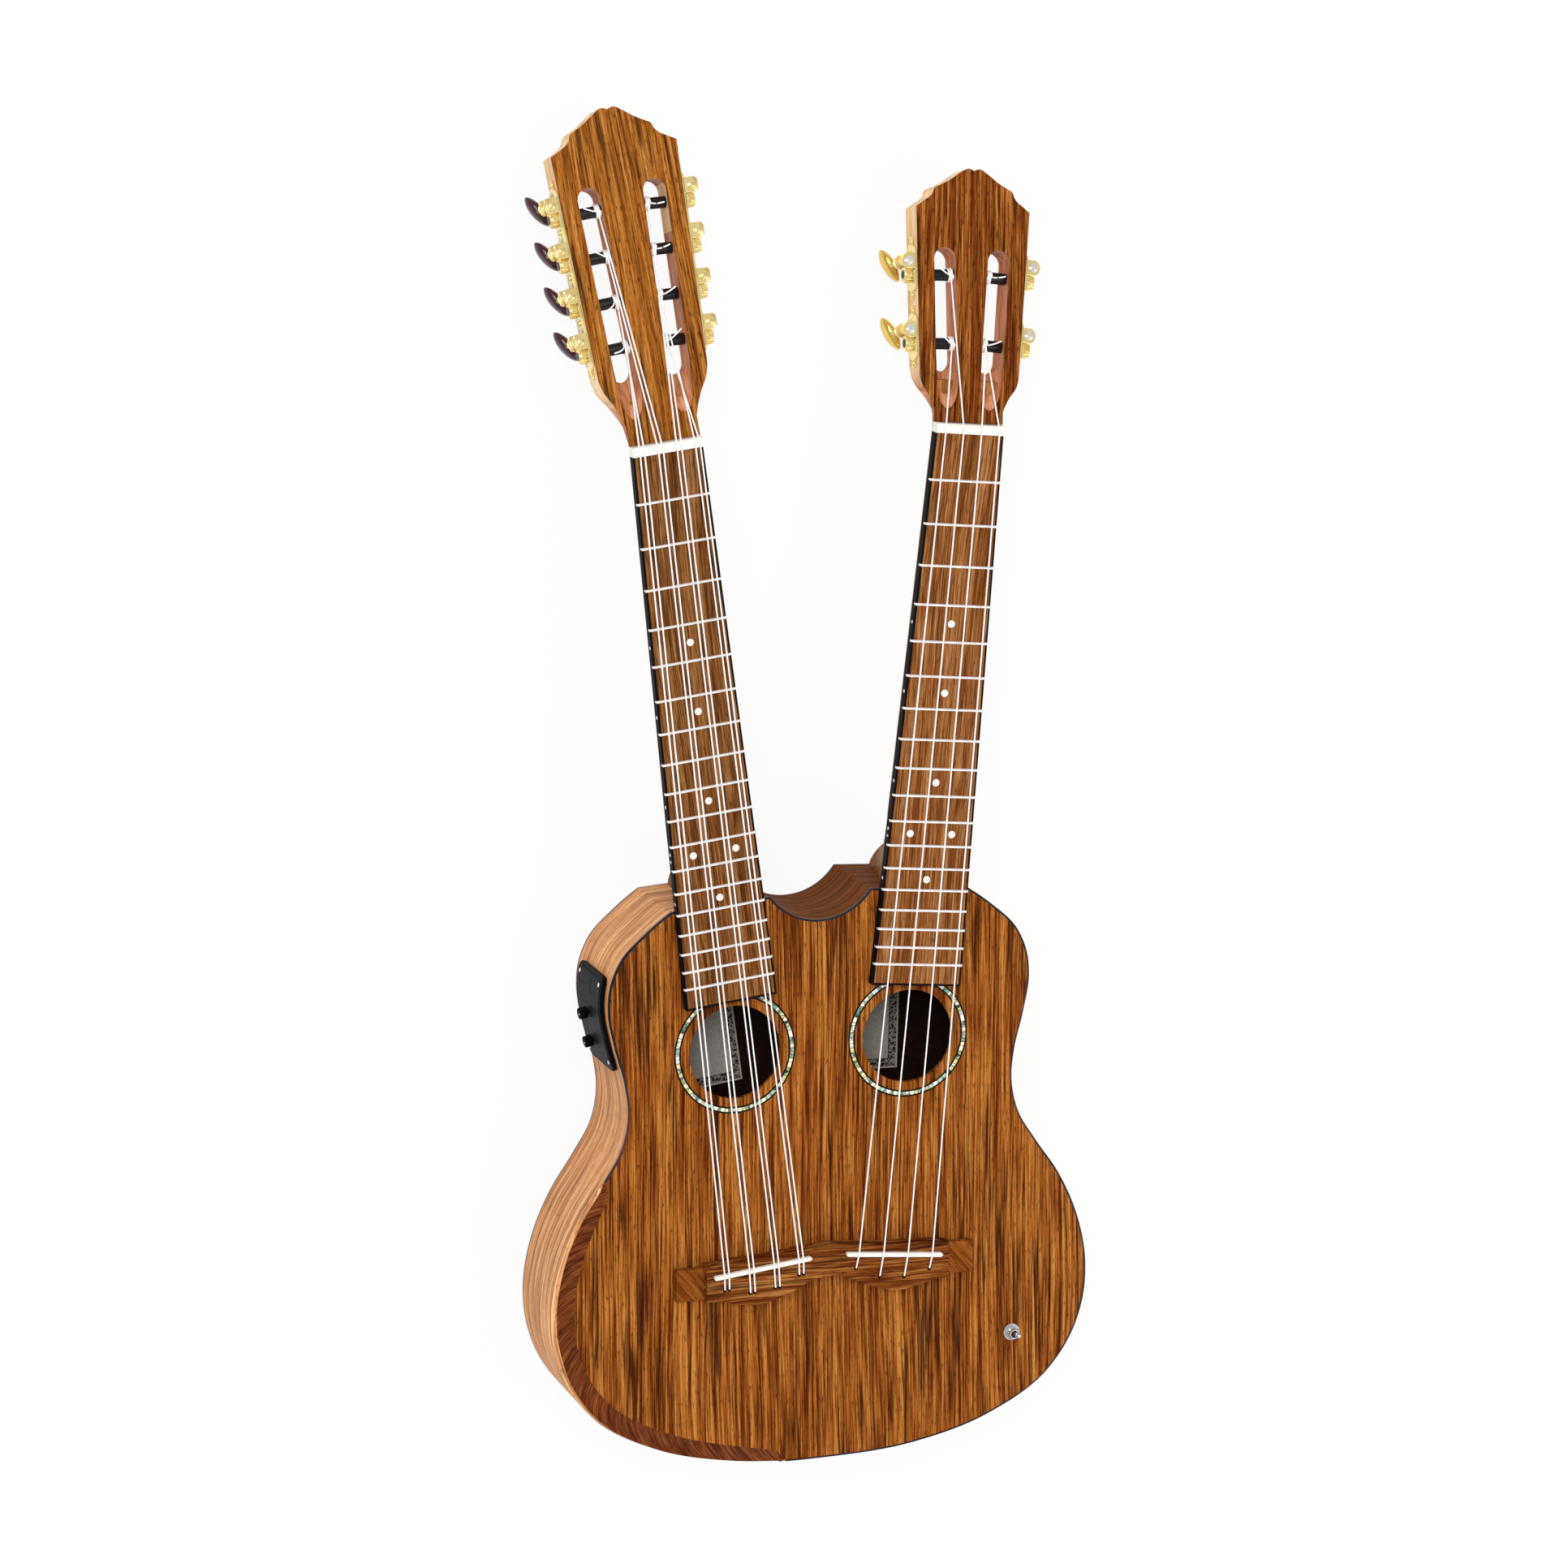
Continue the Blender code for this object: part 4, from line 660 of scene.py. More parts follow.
class Finish(Nodes):
    """A material: one shader, and the nodes that give its colour, roughness and bumps."""

    def __init__(self, name, roughness, metallic=0.0, coat=0.0, shine=0.5):
        self.material = bpy.data.materials.new(name)
        self.material.use_nodes = True
        super().__init__(self.material.node_tree)
        self.shader = self.tree.nodes["Principled BSDF"]
        for key, value in (
            ("Roughness", roughness), ("Metallic", metallic), ("Coat Weight", coat),
            ("Coat Roughness", 0.15), ("Specular IOR Level", shine),
        ):
            self.shader.inputs[key].default_value = value

    def grain(self):
        return self.add("ShaderNodeAttribute", {}, 1, attribute_name="grain")

    def place(self):
        return self.add("ShaderNodeTexCoord", {}, 3)

    def bump(self, height, distance, strength):
        inputs = {"Height": height, "Distance": distance, "Strength": strength}
        normal = self.add("ShaderNodeBump", inputs)
        self.tree.links.new(normal, self.shader.inputs["Normal"])

    def colour(self, socket):
        self.tree.links.new(socket, self.shader.inputs["Base Color"])
        return self.material

    def roughness(self, socket):
        self.tree.links.new(socket, self.shader.inputs["Roughness"])


def wood_colour(f, vector, tones, band=130.0, along=0.05, vein=0.5, pore=0.5, contrast=1.0):
    """Stripes along Y: broad bands, finer streaks and fibres, dark veins and short pores.

    The bands are noise stretched along Y. The veins are where another stretched noise passes
    its middle value, and the pores are peaks of a very fine one. The five tones run dark to
    light, the outer ones for the rarest values.
    """
    bend = f.noise(f.stretched(vector, (14.0, 5.0, 14.0)), detail=1.0)
    shift = f.math("MULTIPLY", f.math("SUBTRACT", bend, 0.5), 0.010)
    offset = f.add("ShaderNodeCombineXYZ", {0: shift})
    wavy = f.add("ShaderNodeVectorMath", {0: vector, 1: offset}, operation="ADD")
    broad = f.noise(f.stretched(wavy, (band, band * along, band * 0.4)), detail=2.0)
    streak = f.noise(f.stretched(wavy, (band * 3.1, band * along * 1.8, band)), detail=2.0)
    fibre = f.noise(f.stretched(wavy, (band * 7, band * along * 6, band * 3)), detail=2.0)
    value = f.math("MULTIPLY", broad, BROAD_SHARE)
    value = f.math("ADD", value, f.math("MULTIPLY", streak, STREAK_SHARE))
    value = f.math("ADD", value, f.math("MULTIPLY", fibre, FIBRE_SHARE))
    value = f.math("MULTIPLY", f.math("SUBTRACT", value, 0.5), GRAIN_CONTRAST * contrast)
    value = f.math("ADD", value, 0.5, clamp=True)
    base = f.ramp(value, [(p, tone(*t)) for p, t in zip(TONE_PLACES, tones)])
    line = f.noise(f.stretched(wavy, (band * 1.2, band * along, band * 0.3)), detail=3.0)
    near = f.math("ABSOLUTE", f.math("SUBTRACT", line, 0.5))
    dark = f.ramp(near, [(0.0, 1.0), (0.02, 0.85), (0.05, 0.0)])
    faint = f.noise(f.stretched(wavy, (band * 1.1, band * along * 3, 9.0)), detail=2.0)
    dark = f.math("MULTIPLY", dark, f.ramp(faint, [(0.42, 0.0), (0.58, 1.0)]))
    dark = f.math("MULTIPLY", dark, vein)
    deep = tone(*(0.6 * t for t in tones[0]))
    base = f.mix(dark, base, deep)
    dash = f.noise(f.stretched(wavy, PORE_FINENESS), detail=1.0)
    dash = f.math("MULTIPLY", f.ramp(dash, [(0.60, 0.0), (0.68, 1.0)]), pore)
    base = f.mix(dash, base, deep)
    return base, dash


def wood(name, tones, roughness=0.42, turn=0.0, by_place=False, shine=0.03, **pattern):
    """A wood whose stripes run along the grain's Y, or slant from it by a turn in degrees."""
    f = Finish(name, roughness, shine=shine)
    vector = f.place() if by_place else f.grain()
    if turn:
        vector = f.turned(vector, turn)
    colour, dash = wood_colour(f, vector, tones, **pattern)
    f.bump(f.math("MULTIPLY", dash, -1.0), 0.00005, 0.4)
    return f.colour(colour)


def headstock_wood(side, face_tones, side_tones, root_tones):
    """A dark striped veneer over pale wood, redder in the slots and where the neck begins."""
    f = Finish(f"{side} headstock walnut", 0.42, shine=0.03)
    vector = f.grain()
    striped = {"band": 220.0, "along": 0.03, "vein": 0.85, "pore": 0.8, "contrast": 0.85}
    face, _ = wood_colour(f, vector, face_tones, **striped)
    pale, _ = wood_colour(f, vector, side_tones, band=90.0, along=0.06, vein=0.1, pore=0.25)
    red, _ = wood_colour(f, vector, root_tones, band=90.0, along=0.06, vein=0.1, pore=0.3)
    inside = f.math("LESS_THAN", f.math("ABSOLUTE", f.part(vector, "X")), SLOTS_HALF_REACH)
    slots_end = HEADS[side]["slot"][1] + 0.001
    inside = f.math("MULTIPLY", inside, f.math("LESS_THAN", f.part(vector, "Y"), slots_end))
    low = f.ramp(f.math("MULTIPLY", f.part(vector, "Y"), 10.0), [(0.16, 1.0), (0.27, 0.0)])
    core = f.mix(f.math("MAXIMUM", inside, low), pale, red)
    top = f.math("GREATER_THAN", f.part(vector, "Z"), -VENEER)
    return f.colour(f.mix(top, core, face))


def speckled(name, colours, roughness, scale=900.0, metallic=0.0, coat=0.0, bump=0.0,
             shine=0.3):
    """Two close colours in fine noise, for plastic, bone, nylon and plated metal."""
    f = Finish(name, roughness, metallic, coat, shine=shine)
    cloud = f.noise(f.place(), scale, detail=3.0)
    if bump:
        f.bump(cloud, bump, 0.3)
    share = f.ramp(cloud, [(0.3, 0.0), (0.7, 1.0)])
    rough = f.math("MULTIPLY", cloud, roughness * 0.5)
    f.roughness(f.math("ADD", rough, roughness * 0.75))
    return f.colour(f.mix(share, tone(*colours[0]), tone(*colours[1])))


def abalone():
    """Short slips of shell round a ring, each of its own colour, with cloudy figure inside.

    Grain X runs round the ring and Y across it. The slips are cells of noise along X.
    """
    f = Finish("abalone shell", 0.3, shine=0.2)
    vector = f.grain()
    spread = f.stretched(vector, (360.0, 150.0, 1.0))
    cell = f.part(f.cells(spread, 1), "X")
    cloud = f.noise(f.stretched(vector, (1100.0, 700.0, 1.0)), detail=3.0)
    value = f.math("ADD", f.math("MULTIPLY", cell, 0.75), f.math("MULTIPLY", cloud, 0.25))
    colour = f.ramp(value, [
        (0.16, tone(38, 62, 52)), (0.27, tone(150, 205, 190)), (0.38, tone(252, 252, 240)),
        (0.48, tone(222, 210, 120)), (0.56, tone(110, 140, 70)), (0.64, tone(250, 250, 238)),
        (0.76, tone(246, 240, 196)), (0.88, tone(130, 180, 170)),
    ])
    edge = f.cells(spread, feature="DISTANCE_TO_EDGE")
    seam = f.ramp(edge, [(0.0, 1.0), (0.12, 0.0)])
    return f.colour(f.mix(f.math("MULTIPLY", seam, 0.85), colour, tone(30, 34, 24)))


def binding_with_painted_sheen():
    """Black binding with a purple cast, and dull red patches of painted reflection."""
    f = Finish("dark binding with painted sheen", 0.35, coat=0.05, shine=0.25)
    patch = f.noise(f.stretched(f.grain(), (20.0, 14.0, 20.0)), detail=1.0)
    # The noise patches run from black to purple, and on to a dull red that is painted reflection.
    return f.colour(f.ramp(patch, [
        (0.40, tone(14, 11, 15)), (0.56, tone(38, 28, 40)), (0.66, tone(88, 38, 26)),
    ]))


def paper():
    """A bare label, with a woven border along its right and lower edges, which meet at zero."""
    f = Finish("label paper", 0.8, shine=0.1)
    vector = f.grain()
    fleck = f.noise(f.stretched(vector, (500.0, 500.0, 1.0)), detail=2.0)
    sheet = f.ramp(fleck, [(0.3, tone(182, 175, 166)), (0.7, tone(204, 197, 188))])
    inwards = f.math("MINIMUM", f.math("MULTIPLY", f.part(vector, "X"), -1.0), f.part(vector, "Y"))
    band = f.math("LESS_THAN", f.math("ABSOLUTE", f.math("SUBTRACT", inwards, 0.0030)), 0.0021)
    line = f.math("LESS_THAN", f.math("ABSOLUTE", f.math("SUBTRACT", inwards, 0.0052)), 0.0002)
    weave = f.cells(f.stretched(vector, (900.0, 900.0, 1.0)))
    pattern = f.ramp(weave, [(0.42, tone(26, 23, 22)), (0.58, tone(160, 152, 142))])
    return f.colour(f.mix(line, f.mix(band, sheet, pattern), tone(80, 76, 74)))


TONE_PLACES = (0.12, 0.35, 0.5, 0.65, 0.88)
BROAD_SHARE = 0.22
STREAK_SHARE = 0.36
FIBRE_SHARE = 0.42
GRAIN_CONTRAST = 3.8
PORE_FINENESS = (1900.0, 190.0, 1900.0)

SOUNDBOARD = wood(
    "soundboard walnut",
    ((76, 28, 4), (118, 58, 14), (146, 80, 24), (164, 98, 38), (190, 126, 58)),
    band=200.0, along=0.024, vein=0.9, pore=0.7,
)
BACK_WOOD = wood(
    "back walnut",
    ((86, 36, 10), (126, 66, 22), (150, 86, 34), (170, 104, 48), (192, 128, 70)),
    band=150.0, along=0.03, vein=0.7,
)
# Near black for the box's inside faces: painted shade, for wood lit only through the soundholes.
INSIDE_PAINTED_SHADE = speckled("inside of the box in painted shade", ((22, 11, 7), (40, 20, 12)), 0.8, 300.0, shine=0.1)
SIDE_WOOD = wood(
    "tan side wood",
    ((164, 110, 70), (200, 138, 92), (220, 158, 106), (236, 176, 122), (248, 194, 140)),
    band=240.0, along=0.02, vein=0.5, pore=0.5, contrast=1.3, roughness=0.55, shine=0.04,
)
CUTAWAY_WOOD = wood(
    "cutaway walnut",
    ((64, 30, 8), (98, 52, 20), (120, 68, 28), (138, 82, 38), (158, 102, 54)),
    band=230.0, along=0.02, vein=0.3, pore=0.4, contrast=0.6, roughness=0.6, shine=0.02,
)
BEVEL_WOOD = wood(
    "arm bevel walnut",
    ((66, 22, 6), (88, 38, 14), (108, 52, 22), (126, 66, 30), (150, 88, 44)),
    band=260.0, along=0.05, vein=0.5, contrast=0.7, turn=58.0,
)
NECK_WOOD = wood(
    "neck mahogany",
    ((116, 64, 26), (138, 84, 38), (152, 98, 50), (168, 112, 64), (186, 130, 80)),
    band=130.0, along=0.03, vein=0.15, pore=0.45, roughness=0.45,
)
HEAD_WOOD = {
    "left": headstock_wood(
        "left",
        ((88, 38, 8), (138, 76, 22), (160, 95, 33), (176, 112, 46), (194, 134, 70)),
        ((224, 180, 128), (234, 194, 144), (242, 204, 156), (248, 214, 168), (252, 222, 180)),
        ((164, 100, 64), (184, 118, 80), (198, 132, 94), (210, 146, 108), (222, 160, 124)),
    ),
    "right": headstock_wood(
        "right",
        ((76, 26, 3), (104, 46, 11), (130, 68, 20), (152, 88, 34), (184, 120, 58)),
        ((222, 176, 124), (232, 190, 138), (240, 200, 150), (246, 210, 162), (250, 218, 174)),
        ((158, 94, 60), (180, 112, 74), (194, 126, 88), (206, 140, 102), (218, 154, 118)),
    ),
}
BOARD_WOOD = {
    "left": wood(
        "left fretboard walnut",
        ((56, 28, 6), (100, 56, 20), (124, 76, 36), (144, 96, 52), (166, 118, 74)),
        band=300.0, along=0.03, vein=0.5, contrast=0.75, roughness=0.5,
    ),
    "right": wood(
        "right fretboard walnut",
        ((80, 36, 6), (116, 62, 22), (138, 82, 38), (160, 108, 62), (182, 132, 84)),
        band=300.0, along=0.03, vein=0.5, contrast=0.75, roughness=0.5,
    ),
}
BRIDGE_WOOD = wood(
    "bridge walnut", ((74, 26, 3), (106, 50, 12), (126, 66, 22), (146, 88, 38), (168, 112, 58)),
    band=230.0, along=0.035, vein=0.8, roughness=0.45,
)
WING_WOOD = wood(
    "bridge wing walnut",
    ((100, 44, 6), (118, 58, 12), (130, 68, 19), (140, 77, 26), (152, 88, 33)),
    band=230.0, along=0.05, vein=0.3, turn=-40.0, roughness=0.45,
)
BLOCK_WOOD = wood(
    "block wood",
    ((96, 66, 38), (112, 78, 46), (124, 88, 54), (136, 98, 62), (148, 108, 70)),
    by_place=True, roughness=0.7,
)
# The braces inside the box are near black: painted shade over their wood.
BRACE_PAINTED_SHADE = wood(
    "brace wood in painted shade",
    ((26, 13, 8), (34, 17, 10), (40, 21, 13), (48, 26, 16), (56, 31, 20)),
    by_place=True, turn=90.0, roughness=0.8,
)
EDGE_BLACK = speckled("fretboard edge", ((8, 7, 7), (20, 19, 21)), 0.5, shine=0.03)
BONE = speckled("bone", ((238, 234, 222), (250, 248, 240)), 0.3, 400.0, coat=0.2)
NYLON = speckled("nylon string", ((248, 247, 245), (255, 255, 254)), 0.3, 500.0)
PEARL = speckled("pearl dot", ((226, 222, 214), (250, 248, 244)), 0.25, 600.0, coat=0.5)
BINDING = binding_with_painted_sheen()
LINE_BLACK = speckled("rosette line", ((10, 7, 6), (24, 17, 13)), 0.5, shine=0.1)
SHELL = abalone()
GOLD = speckled("gold plate", ((244, 218, 140), (254, 236, 170)), 0.2, 120.0, metallic=0.7)
SILVER = speckled("fret silver", ((240, 240, 238), (252, 252, 250)), 0.3, 300.0, metallic=0.4)
PEARLY = speckled("domed cap", ((206, 202, 196), (232, 228, 222)), 0.2, 300.0, metallic=0.4)
PLUM = speckled("dark plum button", ((52, 20, 30), (78, 36, 46)), 0.22, 150.0, coat=0.4)
GOLD_BUTTON = speckled(
    "gold button", ((226, 186, 84), (246, 212, 118)), 0.22, 120.0, metallic=0.8
)
ROLLER = speckled("black roller", ((8, 8, 9), (22, 22, 24)), 0.4, 500.0)
HUB = speckled("cog hub", ((20, 18, 22), (48, 46, 52)), 0.35, 400.0)
PANEL_BLACK = speckled(
    "panel black", ((3, 3, 4), (10, 10, 12)), 0.5, 700.0, bump=0.00002, shine=0.05
)
SLATE = speckled(
    "slate face", ((16, 18, 23), (34, 36, 43)), 0.5, 500.0, bump=0.00002, shine=0.05
)
CHROME = speckled("chrome", ((214, 214, 216), (236, 236, 238)), 0.14, 200.0, metallic=0.85)
PAPER = paper()


# Body

def half_outline(spacing):
    """The body's right half, from the scoop's lowest point round to the tail."""
    half = SCOOP_WIDTH / 2
    radius = (half**2 + SCOOP_DEPTH**2) / (2 * SCOOP_DEPTH)
    a = np.linspace(0, math.asin(half / radius), 22)
    scoop = np.stack([radius * np.sin(a), -SCOOP_DEPTH + radius * (1 - np.cos(a))], 1)
    side = [(SHOULDER_X, -SHOULDER_DROP)]
    side += [(x * BODY_HALF_WIDTH, -y * BODY_LENGTH) for x, y in BODY_SIDE]
    mirrored = (-side[-1][0], side[-1][1])
    curve = natural_curve(side + [(0.0, -BODY_LENGTH), mirrored], spacing)
    curve = curve[: int(np.argmin(np.hypot(curve[:, 0], curve[:, 1] + BODY_LENGTH))) + 1]
    curve[:, 0] = np.minimum(curve[:, 0], BODY_HALF_WIDTH)
    shoulder = np.linspace(scoop[-1], curve[0], 14)[1:-1]
    return np.vstack([scoop, shoulder, curve])


class Outline:
    """The body seen from the front, clockwise from the scoop: points, ways in, lengths.

    share is what the arm bevel has of its full width and drop at each point, a low power of
    half a sine along the left lower bout. way runs along the bevel from 0 to 1.
    """

    def __init__(self):
        right = half_outline(OUTLINE_STEP)
        left = right[1:-1][::-1] * (-1, 1)
        p = np.vstack([right, left]) + (0.0, BODY_END_Y)
        before, after = p - np.roll(p, 1, 0), np.roll(p, -1, 0) - p
        before /= np.linalg.norm(before, axis=1)[:, None]
        after /= np.linalg.norm(after, axis=1)[:, None]
        n0 = np.stack([before[:, 1], -before[:, 0]], 1)
        n1 = np.stack([after[:, 1], -after[:, 0]], 1)
        middle = n0 + n1
        middle /= np.linalg.norm(middle, axis=1)[:, None]
        self.points = p
        self.inward = middle / np.clip((middle * n0).sum(1), 0.5, 1.0)[:, None]
        steps = np.linalg.norm(np.roll(p, -1, 0) - p, axis=1)
        self.length = np.concatenate([[0.0], np.cumsum(steps)[:-1]])
        self.bevelled = (p[:, 0] < -BEVEL_TAIL_X) & (p[:, 1] < BODY_END_Y - BEVEL_START)
        run = self.length[self.bevelled]
        share = np.zeros(len(p))
        t = (run - run[0]) / (run[-1] - run[0])
        share[self.bevelled] = np.sin(math.pi * np.clip(t, 0, 1)) ** BEVEL_FULLNESS
        self.share = share
        self.way = np.zeros(len(p))
        self.way[self.bevelled] = t

    def inset(self, distance):
        """The outline moved inwards, by one distance or one for each point."""
        distance = np.broadcast_to(distance, (len(self.points),))
        return self.points + self.inward * distance[:, None]

    def grain(self, points):
        """Height and length along the outline of points near it, so that stripes run round it."""
        near = np.empty(len(points), int)
        for start in range(0, len(points), 2000):
            part = points[start:start + 2000, None, :2]
            gap = ((part - self.points[None]) ** 2).sum(2)
            near[start:start + 2000] = gap.argmin(1)
        return np.c_[points[:, 2], self.length[near], np.zeros(len(points))]


OUTLINE = Outline()
HALF = len(OUTLINE.points) // 2


def strip(sections, keep):
    """Sections of (depth inwards, height) pairs carried along the kept part of the outline.

    sections has one row of pairs for each outline point.
    """
    sections = np.asarray(sections, float)
    depth, height = sections[keep, :, 0], sections[keep, :, 1]
    p, n = OUTLINE.points[keep], OUTLINE.inward[keep]
    flat = p[:, None, :] + n[:, None, :] * depth[:, :, None]
    return np.concatenate([flat, height[:, :, None]], 2)


def section_rows(pairs):
    """The same section at every outline point, where a value may also vary along it."""
    count = len(OUTLINE.points)
    rows = [[np.broadcast_to(v, (count,)) for v in pair] for pair in pairs]
    return np.stack([np.stack(pair, 1) for pair in rows], 1)


def half_width(drops):
    """Half the body's width at places below its neck end."""
    p = OUTLINE.points[:HALF]
    order = np.argsort(-p[:, 1])
    return np.interp(drops, BODY_END_Y - p[order, 1], p[order, 0])


def brace_boxes(drops, low, high):
    """Bars across the body at distances below its neck end, short of the linings."""
    form = Form()
    for drop in drops:
        wide = half_width([drop - BRACE_WIDTH, drop + BRACE_WIDTH]).min() - BRACE_END
        if drop == TOP_BRACE_DROPS[-1]:
            wide = LOWER_BRACE_END
        y = BODY_END_Y - drop
        form.box((-wide, wide), (y - BRACE_WIDTH / 2, y + BRACE_WIDTH / 2), (low, high))
    return form


def make_body():
    """The soundboard and the back with their braces, then what closes the body between them."""
    top = BODY_DEPTH
    edge = np.maximum(BEVEL_WIDTH * OUTLINE.share, BINDING_WIDTH)
    board = Form().grid(prism(OUTLINE.inset(edge), top - SOUNDBOARD_THICK, top))
    holes = []
    for side in SIDES:
        hole = circle(HOLE_RADIUS, 128, hole_centre(side))
        holes.append(Form().grid(prism(hole, top - 0.02, top + 0.02)))
    put("soundboard_top", board, SOUNDBOARD, ["soundboard"], cuts=holes)
    under = top - SOUNDBOARD_THICK
    # Both sets of braces wear the near-black painted shade.
    put("soundboard_braces", brace_boxes(TOP_BRACE_DROPS, under - BRACE_HEIGHT, under),
        BRACE_PAINTED_SHADE, ["soundboard"], bevel=BRACE_ROUND)
    back = Form().grid(prism(OUTLINE.inset(BINDING_WIDTH), 0.0, BACK_THICK))
    # The back's top face, inside the box, takes the near-black painted shade.
    back.marks[-1] = 1
    put("back_board", back, [BACK_WOOD, INSIDE_PAINTED_SHADE], ["back_plate"])
    put("back_braces", brace_boxes(BACK_BRACE_DROPS, BACK_THICK, BACK_THICK + BRACE_HEIGHT),
        BRACE_PAINTED_SHADE, ["back_plate"], bevel=BRACE_ROUND)
    make_binding()
    make_rim()
    make_arm_bevel()


def make_binding():
    """Dark binding round the top edge, but for the arm bevel, and round the back edge."""
    top, w, h, r = BODY_DEPTH, BINDING_WIDTH, BINDING_HEIGHT, BINDING_ROUND
    keep = ~OUTLINE.bevelled
    start = int(np.flatnonzero(OUTLINE.bevelled)[-1]) + 1
    order = np.roll(np.arange(len(keep)), -start)
    order = order[keep[order]]
    upper = section_rows(((w, top), (r, top), (0.0, top - r), (0.0, top - h), (w, top - h)))
    form = Form().grid(strip(upper, order))
    put("top_binding", form, BINDING, ["soundboard"], grain=OUTLINE.grain)
    lower = section_rows(((w, 0.0), (w, h), (0.0, h), (0.0, r), (r, 0.0)))
    form = Form().grid(strip(lower, np.arange(len(keep))), loop=True)
    put("back_binding", form, BINDING, ["back_plate"], grain=OUTLINE.grain)


def make_rim():
    """Bent sides with their linings, and the darker walls of the cutaway and the shoulders."""
    drop = BEVEL_DROP * OUTLINE.share
    high = BODY_DEPTH - np.maximum(drop, BINDING_HEIGHT)
    low = BINDING_HEIGHT
    roof = np.minimum(high - 0.001, BODY_DEPTH - SOUNDBOARD_THICK)
    lw, lh, st = LINING_WIDTH, LINING_HEIGHT, SIDE_THICK
    pairs = (
        (0.0, low), (0.0, high), (lw, roof), (lw, roof - lh), (st, roof - lh - LINING_SLOPE),
        (st, BACK_THICK + lh + LINING_SLOPE), (lw, BACK_THICK + lh), (lw, BACK_THICK),
    )
    rows = section_rows(pairs)
    across, along = OUTLINE.points.T
    shoulder = (np.abs(across) < CUTAWAY_HALF_WIDTH) & (along > BODY_END_Y - CUTAWAY_DEPTH)
    tail = BODY_END_Y - BODY_LENGTH
    bore = Form().grid(lathe([(JACK_RADIUS, -0.01), (JACK_RADIUS, 0.01)], 48, "Y"))
    bore.points += (0.0, tail, BODY_DEPTH / 2)
    sides = Form().grid(strip(rows, np.flatnonzero(~shoulder)))
    put("bent_sides", sides, SIDE_WOOD, ["rim"], grain=OUTLINE.grain, cuts=[bore])
    order = np.roll(np.arange(len(shoulder)), len(shoulder) // 2)
    order = order[shoulder[order]]
    walls = Form().grid(strip(rows, order))
    put("cutaway_wall", walls, CUTAWAY_WOOD, ["rim"], grain=OUTLINE.grain,
        angle=20.0)


def make_arm_bevel():
    """The slope on the left lower bout: a dark facing, and a tan outer edge towards its top.

    From inside outwards it falls in a straight line with a slight parabolic bulge.
    """
    top = BODY_DEPTH
    drop = BEVEL_DROP * OUTLINE.share
    wide = np.maximum(BEVEL_WIDTH * OUTLINE.share, 0.0002)
    tan = BEVEL_TAN_SHARE * np.clip((OUTLINE.way - BEVEL_TAN_START) / BEVEL_TAN_EASE, 0, 1)

    def slope(t):
        bulge = BEVEL_BULGE * drop / BEVEL_DROP * (t - t * t)
        return wide * (1 - t), top - drop * t + bulge

    def facing_grain(points):
        flat = OUTLINE.grain(points)
        return np.c_[flat[:, 1], flat[:, 0] * 2.0, flat[:, 2]]

    line = slope(1 - tan)
    below = (line[0] + 0.0002, line[1] - 0.0012)
    edge = [slope(1 - tan * t) for t in np.linspace(1.0, 0.0, 3)]
    edge += [(0.0002, top - drop - 0.0005), below]
    lower = np.flatnonzero(OUTLINE.bevelled & (OUTLINE.way > BEVEL_TAN_START))
    form = Form().grid(strip(section_rows(edge), lower))
    put("arm_bevel_edge", form, SIDE_WOOD, ["arm_bevel"], grain=OUTLINE.grain)
    facing = [slope(t * (1 - tan)) for t in np.linspace(0.0, 1.0, 5)]
    facing += [below, (wide, top - 0.0015)]
    form = Form().grid(strip(section_rows(facing), np.flatnonzero(OUTLINE.bevelled)))
    put("arm_bevel_facing", form, BEVEL_WOOD, ["arm_bevel"], grain=facing_grain)


# Soundholes

def flat_ring(centre, inner, outer, low, high):
    """A flat ring with square edges, to be looped: its section carried round the centre."""
    profile = [(inner, low), (outer, low), (outer, high), (inner, high)]
    return np.swapaxes(lathe(profile, 200) + (*centre, 0.0), 0, 1)


def make_rosettes():
    """A ring of shell slips round each soundhole, between two dark lines."""
    top, low = BODY_DEPTH, BODY_DEPTH - ROSETTE_SINK
    for side in SIDES:
        centre = hole_centre(side)

        def round_grain(points):
            x, y = points[:, 0] - centre[0], points[:, 1] - centre[1]
            return np.c_[np.arctan2(y, x) * ROSETTE_OUTER, np.hypot(x, y), points[:, 2]]

        ring = flat_ring(centre, ROSETTE_INNER, ROSETTE_OUTER, low, top + 0.00006)
        shell = Form().grid(ring, loop=True)
        put(f"{side}_rosette_shell", shell, SHELL, ["soundboard"], grain=round_grain)
        lines = Form()
        for inner in (ROSETTE_INNER - ROSETTE_LINE, ROSETTE_OUTER):
            ring = flat_ring(centre, inner, inner + ROSETTE_LINE, low, top + 0.00005)
            lines.grid(ring, loop=True)
        put(f"{side}_rosette_lines", lines, LINE_BLACK, ["soundboard"])


def make_labels():
    """A bare paper label on the back, under each soundhole.

    LABELS gives its lower right corner from the soundhole's middle, and its slant in degrees.
    """
    for side, (across, along, slant) in LABELS.items():
        x, y = hole_centre(side)
        place = moved(x + across, y + along, BACK_THICK) @ turned("Z", slant)
        form = Form().box((-LABEL_WIDTH, 0.0), (0.0, LABEL_LENGTH), (0.0, LABEL_THICK))
        put(f"{side}_label", form, PAPER, (), matrix=place)


# Bridge

def saddle_line_y():
    """The place along the body of the saddles' outer ends, which the bridge is drawn from."""
    return neck_point("left", -SADDLE_WIDTH / 2 - SADDLE_OUTWARD, -SADDLE_FROM_NUT)[1]


